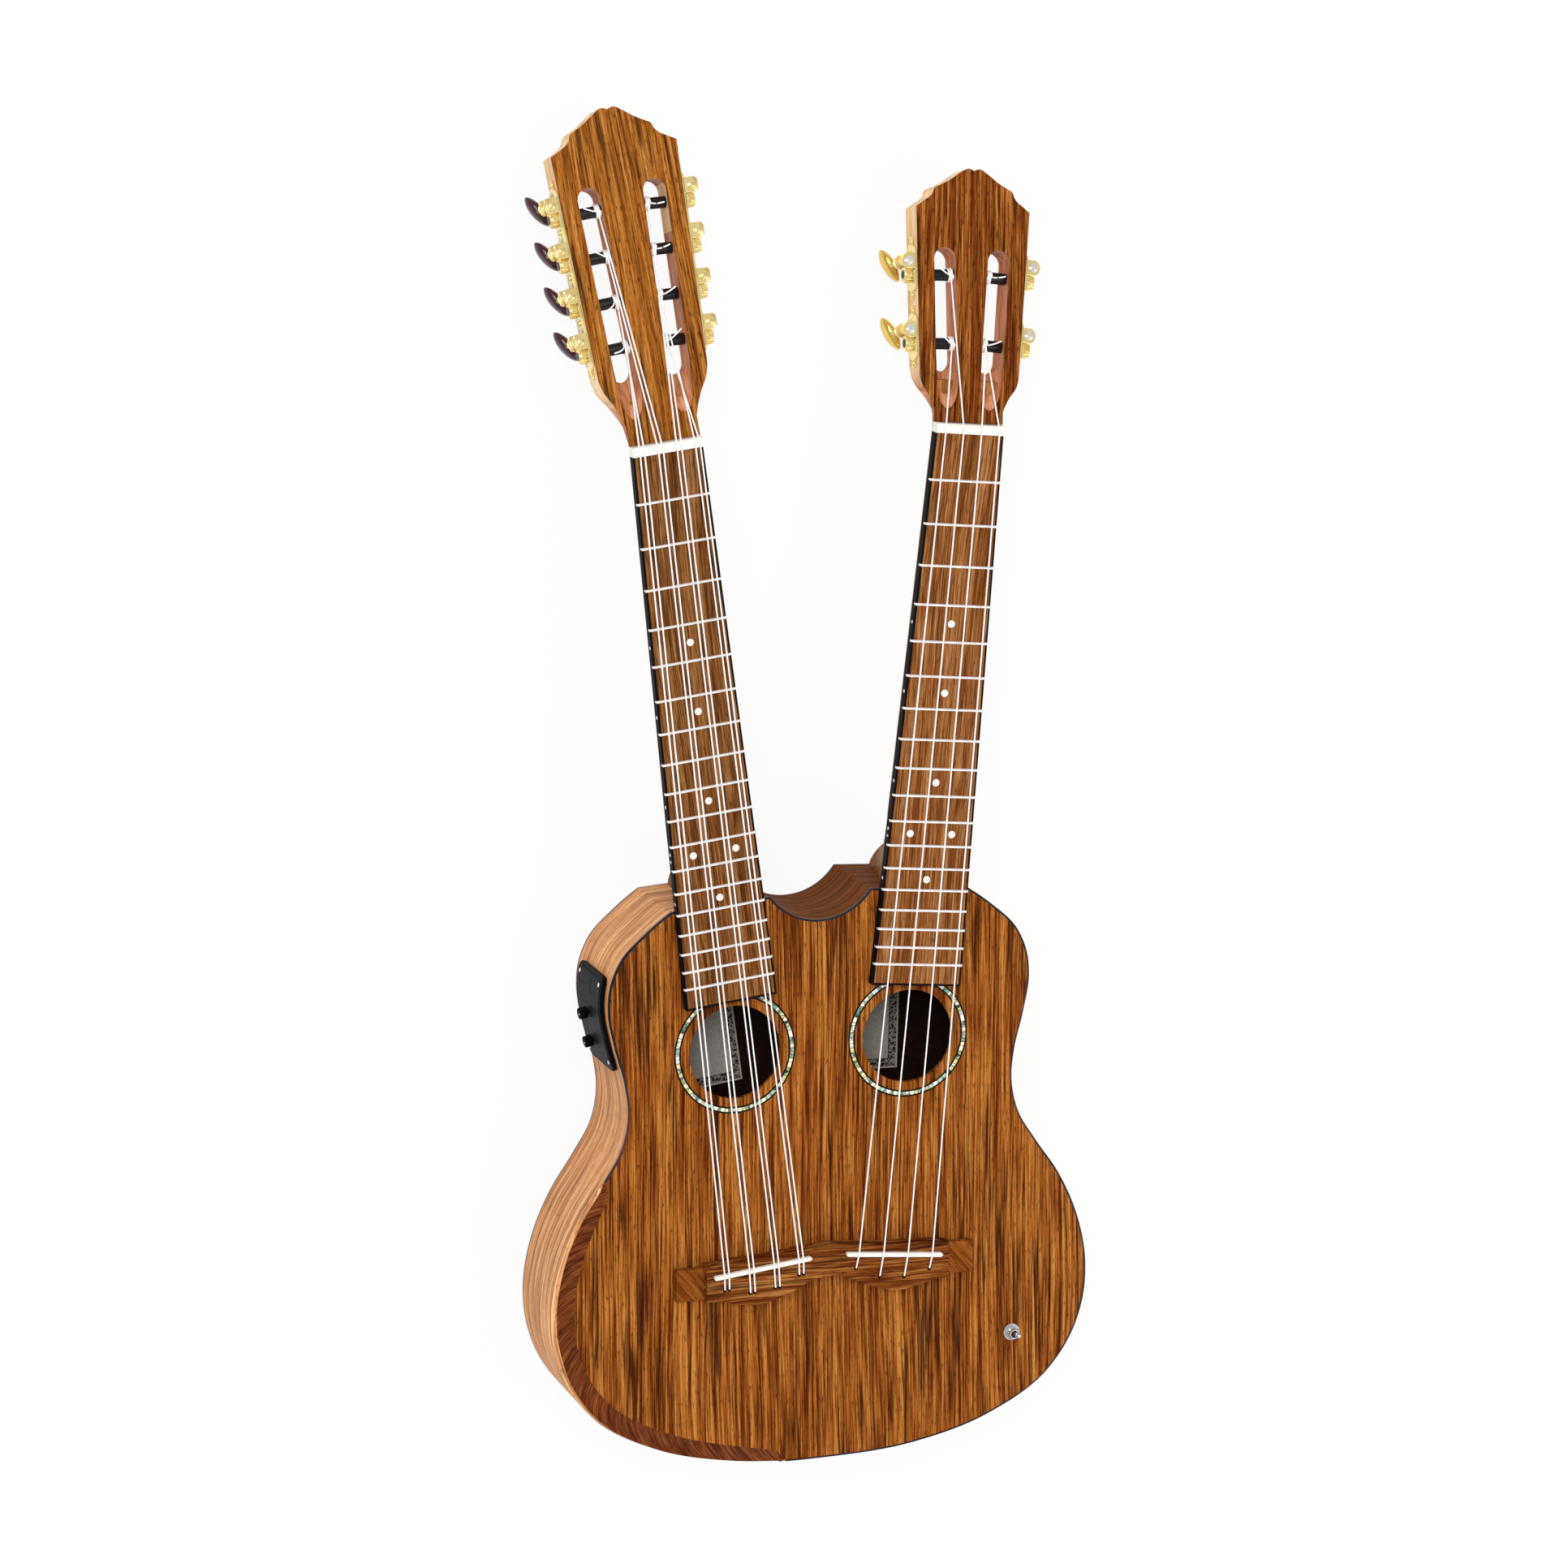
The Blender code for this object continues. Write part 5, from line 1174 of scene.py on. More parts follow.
def bridge_outline():
    """The bridge's centre part: smooth curves through its upper and lower edges' places."""
    top_end = (BRIDGE_CENTRE_HALF, -BRIDGE_WING_TOP * 1.3)
    low_end = (BRIDGE_CENTRE_HALF, BRIDGE_WING_BOTTOM)
    upper = natural_curve(list(BRIDGE_UPPER) + [top_end], 0.003)
    lower = natural_curve(list(BRIDGE_LOWER) + [low_end], 0.003)
    right = np.vstack([upper, lower[::-1]])
    left = right[::-1] * (-1, 1)
    whole = np.vstack([right, left[np.abs(left[:, 0]) > 1e-9]])
    return np.c_[whole[:, 0], saddle_line_y() - whole[:, 1]]


def make_bridge():
    """The raised centre with its saddle slots and string holes, and a low wing at each end."""
    top = BODY_DEPTH + BRIDGE_HEIGHT
    body = Form().grid(prism(bridge_outline(), BODY_DEPTH, top))
    cuts, mouths = [], []
    for side, sign in SIDES.items():
        place = moved(0, 0, -BODY_DEPTH) @ neck_frame(side)
        place = place @ moved(sign * SADDLE_OUTWARD, -SADDLE_FROM_NUT, 0)
        w, t = SADDLE_WIDTH / 2 + 0.0002, SADDLE_THICK / 2 + 0.0001
        slot = Form().box((-w, w), (-t, t), (top - SADDLE_SLOT_DEPTH, top + 0.01), matrix=place)
        cuts.append(slot)
        for string in string_places(side):
            centre = string["route"][0][:2] - (0.0, STRING_MOUTH_LOW)
            mouths.append(circle(STRING_MOUTH_RADIUS, 24, centre))
        make_saddle(side, place)
    # Black discs a little below each string hole's mouth: painted shade standing for the hole's
    # depth.
    hole_shade_discs = Form()
    bottom = top - STRING_MOUTH_DEPTH
    for mouth in mouths:
        cuts.append(Form().grid(prism(mouth, bottom, top + 0.01)))
        hole_shade_discs.grid(prism(mouth, bottom - 0.0004, bottom + 0.0002))
    put("bridge_hole_painted_shade", hole_shade_discs, LINE_BLACK, ["bridge"])
    put("bridge_centre", body, BRIDGE_WOOD, ["bridge"], cuts=cuts,
        grain=lambda points: points[:, [1, 0, 2]], bevel=BRIDGE_ROUND)
    line = saddle_line_y()
    wings = Form()
    for sign in (-1, 1):
        x = sorted((sign * (BRIDGE_CENTRE_HALF - 0.0005), sign * BRIDGE_HALF))
        y = (line - BRIDGE_WING_BOTTOM, line + BRIDGE_WING_TOP)
        wings.box(x, y, (BODY_DEPTH, BODY_DEPTH + BRIDGE_WING_HEIGHT))
    put("bridge_wings", wings, WING_WOOD, ["bridge"], bevel=BRIDGE_ROUND)


def make_saddle(side, place):
    """A bone bar whose top is a rounded ridge, drawn in at both ends by a quarter circle."""
    top = BODY_DEPTH + BRIDGE_HEIGHT + SADDLE_STAND
    half = SADDLE_THICK / 2
    a = np.linspace(0, math.pi, 11)
    arc = np.c_[half * np.cos(a), top - half + half * np.sin(a)]
    low = top - SADDLE_STAND - 0.0039
    section = np.vstack([[(half, low)], arc, [(-half, low)]])
    reach = np.array([0.05, 0.3, 0.7, 1.0])
    full = np.sqrt(1 - (1 - reach) ** 2)
    x = SADDLE_WIDTH / 2 - reach * half
    ends = np.concatenate([-x, x[::-1]])
    size = np.concatenate([full, full[::-1]])
    rows = [[(x, y * w, z - 0.0006 * (1 - w) if z > low else z) for y, z in section]
            for x, w in zip(ends, size)]
    put(f"{side}_saddle_bone", Form().grid(rows), BONE, [f"{side}_saddle"],
        matrix=place, angle=50.0)


# Necks

def board_half_width(along):
    """Half the fretboard's width, which grows evenly from the nut."""
    return NUT_WIDTH / 2 + (BOARD_END_WIDTH - NUT_WIDTH) / 2 * np.asarray(along) / BOARD_END


def neck_sections():
    """Rings of the neck's back: depth and width along it, and the heel's share at each place.

    A ring runs from one top edge round the back to the other. Its side is a rounded quarter,
    blended by the heel's share with cheeks that draw in to a narrow foot.
    """
    tilt = math.radians(HEAD_TILT)
    start = NECK_LENGTH - HEEL_REACH
    root = np.linspace(-ROOT_LENGTH, -0.001, 14)
    shaft = np.linspace(0.0, start, 40)
    heel = start + HEEL_REACH * np.linspace(0.02, 1.0, 40)
    along = np.concatenate([root, shaft, heel])
    face = HEAD_FACE_RISE - (NUT_LENGTH - root) * math.tan(tilt)
    root_top = face - ROOT_TOP_DROP
    root_bottom = face - HEAD_THICK * math.cos(tilt) + (1 + root / ROOT_LENGTH) * ROOT_RISE
    share = np.clip((along - start) / HEEL_REACH, 0, 1)
    thin = NECK_DEPTH + NECK_DEPTH_GAIN * np.clip(along / start, 0, 1)
    full = BODY_DEPTH - HEEL_LIFT
    depth = thin + (full - thin) * share**2 * (3 - 2 * share)
    top = np.zeros(len(along))
    top[:len(root)] = root_top
    depth[:len(root)] = root_top - root_bottom
    half = board_half_width(np.maximum(along, 0)) - BOARD_OVERHANG
    half[:len(root)] = NUT_WIDTH / 2 - ROOT_INSET
    u = np.linspace(0, 1, 25)[None, :]
    a = u * math.pi / 2
    round_x, round_d = np.cos(a) ** 1.3, np.sin(a) ** 0.95
    foot = (HEEL_FOOT / half)[:, None]
    cheek_x, cheek_d = foot + (1 - foot) * (1 - u) ** 1.55, u
    k = share[:, None]
    x = half[:, None] * (round_x + (cheek_x - round_x) * k)
    z = top[:, None] - depth[:, None] * (round_d + (cheek_d - round_d) * k)
    x, z = np.hstack([x, -x[:, ::-1]]), np.hstack([z, z[:, ::-1]])
    return x, np.broadcast_to(-along[:, None], x.shape), z, share


def shoulder_y(side, x):
    """How far past the body's neck end a neck's rings run, to lie on the body's shoulder."""
    sign = SIDES[side]
    fall = math.atan2(SHOULDER_DROP, SHOULDER_X - SCOOP_WIDTH / 2)
    corner = np.array([sign * SCOOP_WIDTH / 2, BODY_END_Y + 0.0002])
    way = np.array([math.cos(fall), -sign * math.sin(fall)])
    square = np.array([-way[1], way[0]])
    across, along, _, origin = neck_frame(side)[:2].T
    start = origin + np.multiply.outer(x, across)
    return -((start - corner) @ square) / (along @ square)


def make_neck(side):
    """The neck's back with its heel, carried on to the body's shoulder, and the headstock."""
    x, y, z, share = neck_sections()
    end = shoulder_y(side, x)
    y = y + (end + NECK_LENGTH) * (share**2)[:, None]
    shaft = Form().grid(np.stack([x, y, z], -1))
    put(f"{side}_neck_shaft", shaft, NECK_WOOD, [f"{side}_neck"],
        matrix=neck_frame(side), angle=60.0)
    make_headstock(side)


def head_outline(head):
    """A headstock in its own plane, from the nut up one side to the notch and down the other."""
    neck_half = NUT_WIDTH / 2
    low_x, low_s = head["low_x"], head["low_s"]
    bow = natural_curve(
        [
            (neck_half, low_s * 0.30),
            (neck_half + (low_x - neck_half) * 0.40, low_s * 0.62),
            (neck_half + (low_x - neck_half) * 0.86, low_s * 0.88),
            (low_x, low_s + 0.002),
        ],
        0.0012,
    )
    corner = [(head["corner_x"], head["tip"] - CORNER_DROP)]
    crown = natural_curve([(x, head["tip"] - drop) for x, drop in CROWN], 0.0009)
    half = np.vstack([[(neck_half, -0.004)], bow, corner, crown])
    return np.vstack([half, half[-2::-1] * (-1, 1)])


def slot_cutters(side, row):
    """A slot with round ends and the ramp that leads the strings down into it."""
    head = HEADS[side]
    place = np.linalg.inv(head_frame(side)) @ row_frame(side, row)
    s0 = head["posts"][0]
    r = SLOT_WIDTH / 2
    low, high = head["slot"][0] - s0 + r, head["slot"][1] - s0 - r
    x = -row * SLOT_INSET
    a = np.linspace(0, math.pi, 25)
    upper = np.c_[x + r * np.cos(a), high + r * np.sin(a)]
    lower = np.c_[x - r * np.cos(a), low - r * np.sin(a)]
    through = Form().grid(carried(place, prism(np.vstack([upper, lower]), -0.03, 0.01)))
    b = np.linspace(math.pi, 2 * math.pi, 25)
    trough = np.c_[x + r * 0.98 * np.cos(b), r * 0.98 * np.sin(b)]
    trough = np.vstack([[(x - r * 0.98, 0.03)], trough, [(x + r * 0.98, 0.03)]])
    reach = RAMP_LENGTH / math.cos(math.radians(RAMP_FALL))
    rows = np.stack([np.c_[trough[:, 0], np.full(len(trough), v), trough[:, 1]]
                     for v in (-reach, reach)])
    lean = place @ moved(0, low - RAMP_TO_SLOT, 0) @ turned("X", -RAMP_FALL)
    return [through, Form().grid(carried(lean, rows))]


def make_headstock(side):
    """A flat slab, cut by the wedge where the neck's back takes over, the nut's seat and slots."""
    head = HEADS[side]
    slab = Form().grid(prism(head_outline(head), -HEAD_THICK, 0.0))
    far = 0.06
    bend = np.linspace(0, 1, 12)
    curve = np.c_[THROAT_LENGTH * bend, -THROAT_DEPTH - (HEAD_THICK - THROAT_DEPTH) * bend]
    section = np.vstack([
        [(-far, -THROAT_DEPTH)], curve, [(THROAT_LENGTH, -far), (-far, -far)],
    ])
    wedge = np.stack([np.c_[np.full(len(section), x), section] for x in (-far, far)])
    seat = np.linalg.inv(head_frame(side)) @ neck_frame(side)
    cuts = [
        Form().grid(wedge),
        Form().box((-far, far), (-far, NUT_LENGTH), (0.0, 0.01), matrix=seat),
    ]
    for row in (-1, 1):
        cuts += slot_cutters(side, row)
    put(f"{side}_headstock", slab, HEAD_WOOD[side], [f"{side}_neck"],
        matrix=head_frame(side), cuts=cuts, bevel=HEAD_ROUND)


def fret_places():
    """Distances of the frets from the nut, in equal temperament."""
    return SCALE_LENGTH * (1 - 2.0 ** (-np.arange(1, FRET_COUNT + 1) / 12))


def make_fretboard(side):
    """A tapering board with black edges, its frets, and its dots."""
    top, e, r = BOARD_THICK, BOARD_EDGE, BOARD_ROUND
    rows = []
    for along in (0.0, BOARD_END * 0.5, BOARD_END - e, BOARD_END):
        half = float(board_half_width(along))
        ring = (
            (-half, 0.0), (-half, top - r), (-half + r, top), (-half + e, top),
            (half - e, top), (half - r, top), (half, top - r), (half, 0.0),
        )
        rows.append([(x, -along, z) for x, z in ring])
    marks = np.zeros((3, 8), int)
    marks[:2, 3] = 1
    form = Form().grid(rows, mark=marks.ravel())
    put(f"{side}_board", form, [EDGE_BLACK, BOARD_WOOD[side]],
        [f"{side}_fretboard"], matrix=neck_frame(side))
    make_frets(side)
    make_dots(side)


def make_frets(side):
    """Wires with a half round crown, lower at the ends, and their tangs in the board's sides."""
    top = BOARD_THICK
    frets = Form()
    k = np.linspace(0, math.pi, 11)
    y = np.concatenate([[FRET_CROWN], FRET_CROWN * np.cos(k), [-FRET_CROWN]])
    z = np.concatenate([[-FRET_SINK], FRET_STAND * np.sin(k) ** 0.8, [-FRET_SINK]])
    rise = np.array([0.35, 0.8, 1.0, 1.0, 0.8, 0.35])
    for along in fret_places():
        half = float(board_half_width(along)) - 0.00005
        xs = np.array([-half, -half + 0.0003, -half + 0.0010, half - 0.0010, half - 0.0003, half])
        grid = np.empty((len(xs), len(y), 3))
        grid[..., 0] = xs[:, None]
        grid[..., 1] = y[None, :] - along
        grid[..., 2] = top + np.where(z > 0, z * rise[:, None], z)
        frets.grid(grid)
        for sign in (-1, 1):
            x = sorted((sign * (half - 0.001), sign * (half + 0.0002)))
            frets.box(x, (-along - 0.0005, -along + 0.0005), (top - 0.0022, top - 0.0001))
    put(f"{side}_frets", frets, SILVER, [f"{side}_fretboard"],
        matrix=neck_frame(side), angle=60.0)


def make_dots(side):
    """Pearl dots between frets, on the board's face and, smaller, on its left edge."""
    top = BOARD_THICK
    dots = Form()
    lines = np.concatenate([[0.0], fret_places()])
    r, low, high = DOT_RADIUS, top - 0.0006, top + 0.00004
    for space in DOTTED_SPACES:
        along = (lines[space - 1] + lines[space]) / 2
        half = float(board_half_width(along))
        double = space == DOUBLE_DOT_SPACE
        for x in (-half / 2, half / 2) if double else (0.0,):
            dot = lathe([(r, low), (r, high), (r - 0.0001, high + 0.00002)], 36)
            dots.grid(dot + (x, -along, 0.0))
        for shift in (-0.002, 0.002) if double else (0.0,):
            spot = [(SIDE_DOT_RADIUS, half - 0.0004), (SIDE_DOT_RADIUS, half + 0.00005)]
            spot = lathe(spot, 24, "X") * (-1, 1, 1)
            dots.grid(spot + (0.0, -along + shift, top * 0.52))
    put(f"{side}_dots", dots, PEARL, [f"{side}_fretboard"], matrix=neck_frame(side))


def make_nut(side):
    """A bone bar, rounded over at the back, with a shallow groove under each string.

    The back is a quarter of an ellipse and each groove a bell curve. The ends fall a little.
    """
    top = BOARD_THICK + FRET_STAND + NUT_STAND
    y1 = NUT_LENGTH - 0.0003
    a = np.linspace(0, math.pi / 2, 9)
    back = np.c_[y1 + NUT_BACK_LENGTH * (np.sin(a) - 1), top + NUT_BACK_FALL * (np.cos(a) - 1)]
    section = np.vstack([
        [(0.0002, 0.0002), (0.0002, top - 0.0003), (0.0005, top)], back, [(y1, 0.0002)],
    ])
    half = NUT_WIDTH / 2 + 0.0001
    xs = np.linspace(-half, half, 241)
    grooves = np.zeros(len(xs))
    for string in string_places(side):
        grooves = np.maximum(grooves, np.exp(-((xs - string["nut"]) / NUT_GROOVE_WIDTH) ** 2))
    ends = np.clip((half - np.abs(xs)) / 0.0006, 0, 1)
    fall = NUT_GROOVE_DEPTH * (grooves + 1 - ends)
    grid = np.empty((len(xs), len(section), 3))
    grid[..., 0] = xs[:, None]
    grid[..., 1] = section[None, :, 0]
    raised = section[None, :, 1] > top * 0.5
    grid[..., 2] = section[None, :, 1] - np.where(raised, fall[:, None], 0.0)
    put(f"{side}_nut_bone", Form().grid(grid), BONE, [f"{side}_nut"],
        matrix=neck_frame(side), angle=50.0)


# Strings

def string_places(side):
    """For each string: its course, place at the nut and saddle, its row, post and route."""
    sign = SIDES[side]
    offsets = (-PAIR_GAP / 2, PAIR_GAP / 2) if side == "left" else (0.0,)
    out = []
    for course in range(COURSES):
        step = course - (COURSES - 1) / 2
        for offset in offsets:
            out.append({
                "course": course,
                "nut": step * NUT_SPACING + offset + NUT_STRING_SHIFT,
                "saddle": step * SADDLE_SPACING + offset + sign * SADDLE_OUTWARD,
            })
    half = len(out) // 2
    for i, string in enumerate(out):
        string["row"] = -1 if i < half else 1
        string["post"] = i if i < half else len(out) - 1 - i
        string["route"] = string_route(side, string)
    return out


def string_route(side, string):
    """A string's centre line from its knot under the soundboard to the top of its post."""
    top = BODY_DEPTH + BRIDGE_HEIGHT
    clear = CLEAR + STRING_RADIUS
    spread = string["saddle"]
    hole = neck_point(side, spread, -SADDLE_FROM_NUT - STRING_HOLE_SETBACK[string["course"]])
    saddle = neck_point(side, spread, -SADDLE_FROM_NUT)
    behind = neck_point(side, spread, -SADDLE_FROM_NUT - SADDLE_THICK / 2)
    nut_front = neck_point(side, string["nut"], 0.0010)
    nut_back = neck_point(side, string["nut"], NUT_LENGTH * 0.55)
    nut_z = FRET_PLANE_Z + NUT_STAND + clear - 0.0004
    saddle_z = top + SADDLE_STAND + clear - 0.0003
    s = post_places(side)[string["post"]]
    end = (string["row"] * winding_x(), s, -POST_DEPTH + POST_RADIUS + STRING_RADIUS)
    return [
        np.array((*hole, BODY_DEPTH - SOUNDBOARD_THICK - KNOT_DROP)),
        np.array((*hole, top + 0.0004)),
        np.array((*behind, saddle_z - 0.0006)),
        np.array((*saddle, saddle_z)),
        np.array((*nut_front, nut_z)),
        np.array((*nut_back, nut_z - 0.0003)),
        carried(row_frame(side, string["row"]), end),
    ]


def winding_x():
    """Place of the windings' middle along a roller, in the tuner row's plan."""
    return -SLOT_INSET - SLOT_WIDTH / 2 + 0.0024


def make_strings(side):
    """Each string's thread and its knot under the soundboard, then its turns on the roller."""
    strings = string_places(side)
    for course in range(COURSES):
        mates = [s for s in strings if s["course"] == course]
        paired = len(mates) > 1
        node = f"{side}_course_{course + 1}" if paired else f"{side}_string_{course + 1}"
        form = Form()
        for string in mates:
            form.grid(tube(string["route"], STRING_RADIUS))
        knot = sum(s["route"][0] for s in mates) / len(mates)
        reach = 0.0022 + (PAIR_GAP / 2 if paired else 0.0)
        profile = [(0.0012, -0.0015), (reach, -0.0008), (reach, 0.0008), (0.0012, 0.0015)]
        form.grid(lathe(profile, 20) + knot)
        put(f"{node}_thread", form, NYLON, [node])
    for string in strings:
        make_winding(side, string)


def make_winding(side, string):
    """Turns of string on a roller and the loose tail: a helix, then a short bent end.

    The seed, from the post's number, row and side, makes each tail point its own way.
    """
    row = string["row"]
    post = f"{side}_{row_label(side, row)}_post_{string['post'] + 1}"
    s = post_places(side)[string["post"]]
    t = np.linspace(0, 1, 22 * WINDING_TURNS)
    angle = math.pi / 2 + 2 * math.pi * WINDING_TURNS * t
    radius = POST_RADIUS + STRING_RADIUS * 0.95
    x = row * (winding_x() + 0.0012 - 0.0028 * (1 - t))
    helix = np.c_[x, s + radius * np.cos(angle), -POST_DEPTH + radius * np.sin(angle)]
    seed = (string["post"] * 37 + (row + 1) * 11 + (13 if side == "left" else 0)) % 17 / 17
    out = np.linspace(0.12, 1, 7)[:, None]
    lead = np.array([row * 0.0045, 0.0035 - 0.010 * seed, 0.0040 + 0.0018 * seed])
    curl = np.array([row * 0.0020, 0.0020, -0.0022]) * (out**2)
    tail = helix[-1] + lead * out + curl
    form = Form().grid(tube(np.vstack([helix, tail]), STRING_RADIUS, 8))
    put(f"{post}_winding", form, NYLON, (), body=post, matrix=row_frame(side, row))


# Tuning machines

def plate_outline(low, high):
    """A plate from the side: a full middle, drawn in to a neck and a round screw end each way."""
    middle = (PLATE_FRONT + PLATE_BACK) / 2
    full = (PLATE_FRONT - PLATE_BACK) / 2
    tip = PLATE_TIP
    u = np.concatenate([np.linspace(0, tip, 9), np.linspace(0.0026, 0.0074, 15)])
    round_end = np.sqrt(np.clip(tip**2 - (tip - u) ** 2, 0, None))
    neck = tip - 0.0007 * np.sin(np.clip((u - tip) / 0.0024, 0, 1) * math.pi)
    flare = np.clip((u - 0.0044) / 0.0028, 0, 1)
    wide = np.where(u <= tip, round_end, neck) + (full - tip) * flare**0.6
    half = np.maximum(wide, 0.0002)
    s = np.concatenate([low + u, high - u[::-1]])
    w = np.concatenate([half, half[::-1]])
    return np.vstack([np.c_[s, middle + w], np.c_[s[::-1], middle - w[::-1]]])


def bearing_tab(side):
    """A tab seen along a worm, from the plate out: a half circle, or squarer on the left head."""
    across_power, along_power = (1.0, 1.0) if side == "right" else (0.45, 0.6)
    a = np.linspace(-math.pi / 2, math.pi / 2, 25)
    x = WORM_STAND + (TAB_REACH - WORM_STAND) * np.cos(a) ** across_power
    y = TAB_HALF * np.sign(np.sin(a)) * np.abs(np.sin(a)) ** along_power
    return np.vstack([[(0.0006, -TAB_HALF)], np.c_[x, y], [(0.0006, TAB_HALF)]])


def make_plate(side, row, name, places):
    """A gold plate on the headstock's side with bearing tabs for each worm, and its screws."""
    form = Form()
    low = places[0] - PLATE_END
    high = places[-1] + WORM_TO_POST + PLATE_END
    outline = plate_outline(low, high)
    centre = outline.mean(0)
    away = outline - centre
    size = np.abs(away).max(0)
    r = PLATE_ROUND
    layers = []
    for x, shrink in ((0.0002, 0.0), (PLATE_THICK, 0.0), (PLATE_THICK + r, r)):
        flat = centre + away * (1 - shrink / size)
        layers.append(np.c_[np.full(len(flat), row * x), flat])
    form.grid(layers)
    tab = bearing_tab(side)
    middle = np.array([WORM_STAND * 0.8, 0.0])
    for s in places:
        for z in (PLATE_FRONT - TAB_THICK, REAR_TAB):
            levels = ((z, 0.95), (z + 0.0002, 1.0), (z + TAB_THICK - 0.0002, 1.0),
                      (z + TAB_THICK, 0.95))
            rows = []
            for height, scale in levels:
                flat = middle + (tab - middle) * scale + (0.0, s + WORM_TO_POST)
                rows.append(np.c_[row * flat[:, 0], flat[:, 1], np.full(len(flat), height)])
            form.grid(rows)
        guard = (s - 0.0048, s + 0.0022)
        form.box(sorted((row * 0.0006, row * 0.0021)), guard, (PLATE_FRONT - 0.0012, PLATE_FRONT))
    put(f"{side}_{name}_gold", form, GOLD, [f"{side}_{name}"],
        matrix=row_frame(side, row), angle=40.0)
    make_plate_screws(side, row, name, (low + SCREW_INSET, high - SCREW_INSET), places)


def make_plate_screws(side, row, name, ends, places):
    """Domed screws at a plate's ends, each with a dark bar of painted shade for its slot, and
    between a long plate's worms.
    """
    spots = list(ends)
    if len(places) > 1:
        spots += [p + (WORM_TO_POST + MACHINE_STEP) / 2 + 0.0012 for p in places[:-1]]
    middle = (PLATE_FRONT + PLATE_BACK) / 2
    heads, slots = Form(), Form()
    base, r = PLATE_THICK + 0.0002, SCREW_RADIUS
    profile = [(r, base), (r, base + 0.0004), (0.0013, base + 0.0007), (0.0007, base + 0.0009)]
    for s in spots:
        heads.grid(sideways(profile, 28, row, (0.0, s, middle)))
        # Each slot is a dark bar on the dome, not cut in: painted shade.
        x = sorted((row * (base + 0.0006), row * (base + 0.00095)))
        slots.box(x, (s - 0.0013, s + 0.0013), (middle - 0.00022, middle + 0.00022))
    matrix = row_frame(side, row)
    put(f"{side}_{name}_screws", heads, GOLD, (), matrix=matrix)
    put(f"{side}_{name}_screw_slot_shade", slots, HUB, (), matrix=matrix)


def sideways(profile, count, row, place, ripple=None):
    """A turned part square to the head's side: pairs of (radius, distance outwards)."""
    return lathe(profile, count, "X", ripple) * (row, 1, 1) + place


def tooth(angle, place):
    """Radius of a cog as a share of its tip: flat-topped teeth round it."""
    wave = np.clip(0.5 + 1.5 * np.cos(COG_TEETH * angle), 0, 1)
    return (COG_ROOT + (COG_RADIUS - COG_ROOT) * wave) / COG_RADIUS


def make_post(side, row, name, s):
    """A toothed wheel with a dark hub outside the plate, a shaft, and a black roller."""
    place = (0.0, s, -POST_DEPTH)
    start, end = COG_STAND, COG_STAND + COG_LENGTH
    edge = COG_RADIUS * 0.93
    cog = [(edge, start), (COG_RADIUS, start + 0.0004), (COG_RADIUS, end - 0.0004), (edge, end)]
    shaft = [(SHAFT_RADIUS, 0.0), (SHAFT_RADIUS, start + 0.0002)]
    collar = [(0.0030, end - 0.0002), (0.0030, end + 0.0002), (0.0027, end + 0.0003)]
    gold = Form().grid(sideways(cog, COG_TEETH * 12, row, place, tooth))
    gold.grid(sideways(shaft, 24, row, place))
    gold.grid(sideways(collar, 32, row, place))
    cap = [(0.0023, end), (0.0023, end + 0.00045), (0.0018, end + 0.00055)]
    hub = Form().grid(sideways(cap, 32, row, place))
    wall = SLOT_INSET - SLOT_WIDTH / 2 - 0.001
    web = SLOT_INSET + SLOT_WIDTH / 2 + POST_WEB
    spool = [
        (SHAFT_RADIUS, 0.0), (SHAFT_RADIUS, -wall), (POST_RADIUS - 0.0002, -wall - 0.0002),
        (POST_RADIUS, -wall - 0.0006), (POST_RADIUS, -web),
    ]
    roller = Form().grid(sideways(spool, 32, row, place))
    for part, form, finish, slot, nodes in (
        ("cog", gold, GOLD, "gold", [name]),
        ("hub", hub, HUB, "roller", ()),
        ("roller", roller, ROLLER, "roller", [name]),
    ):
        put(f"{name}_{part}", form, finish, nodes, body=name, matrix=row_frame(side, row))


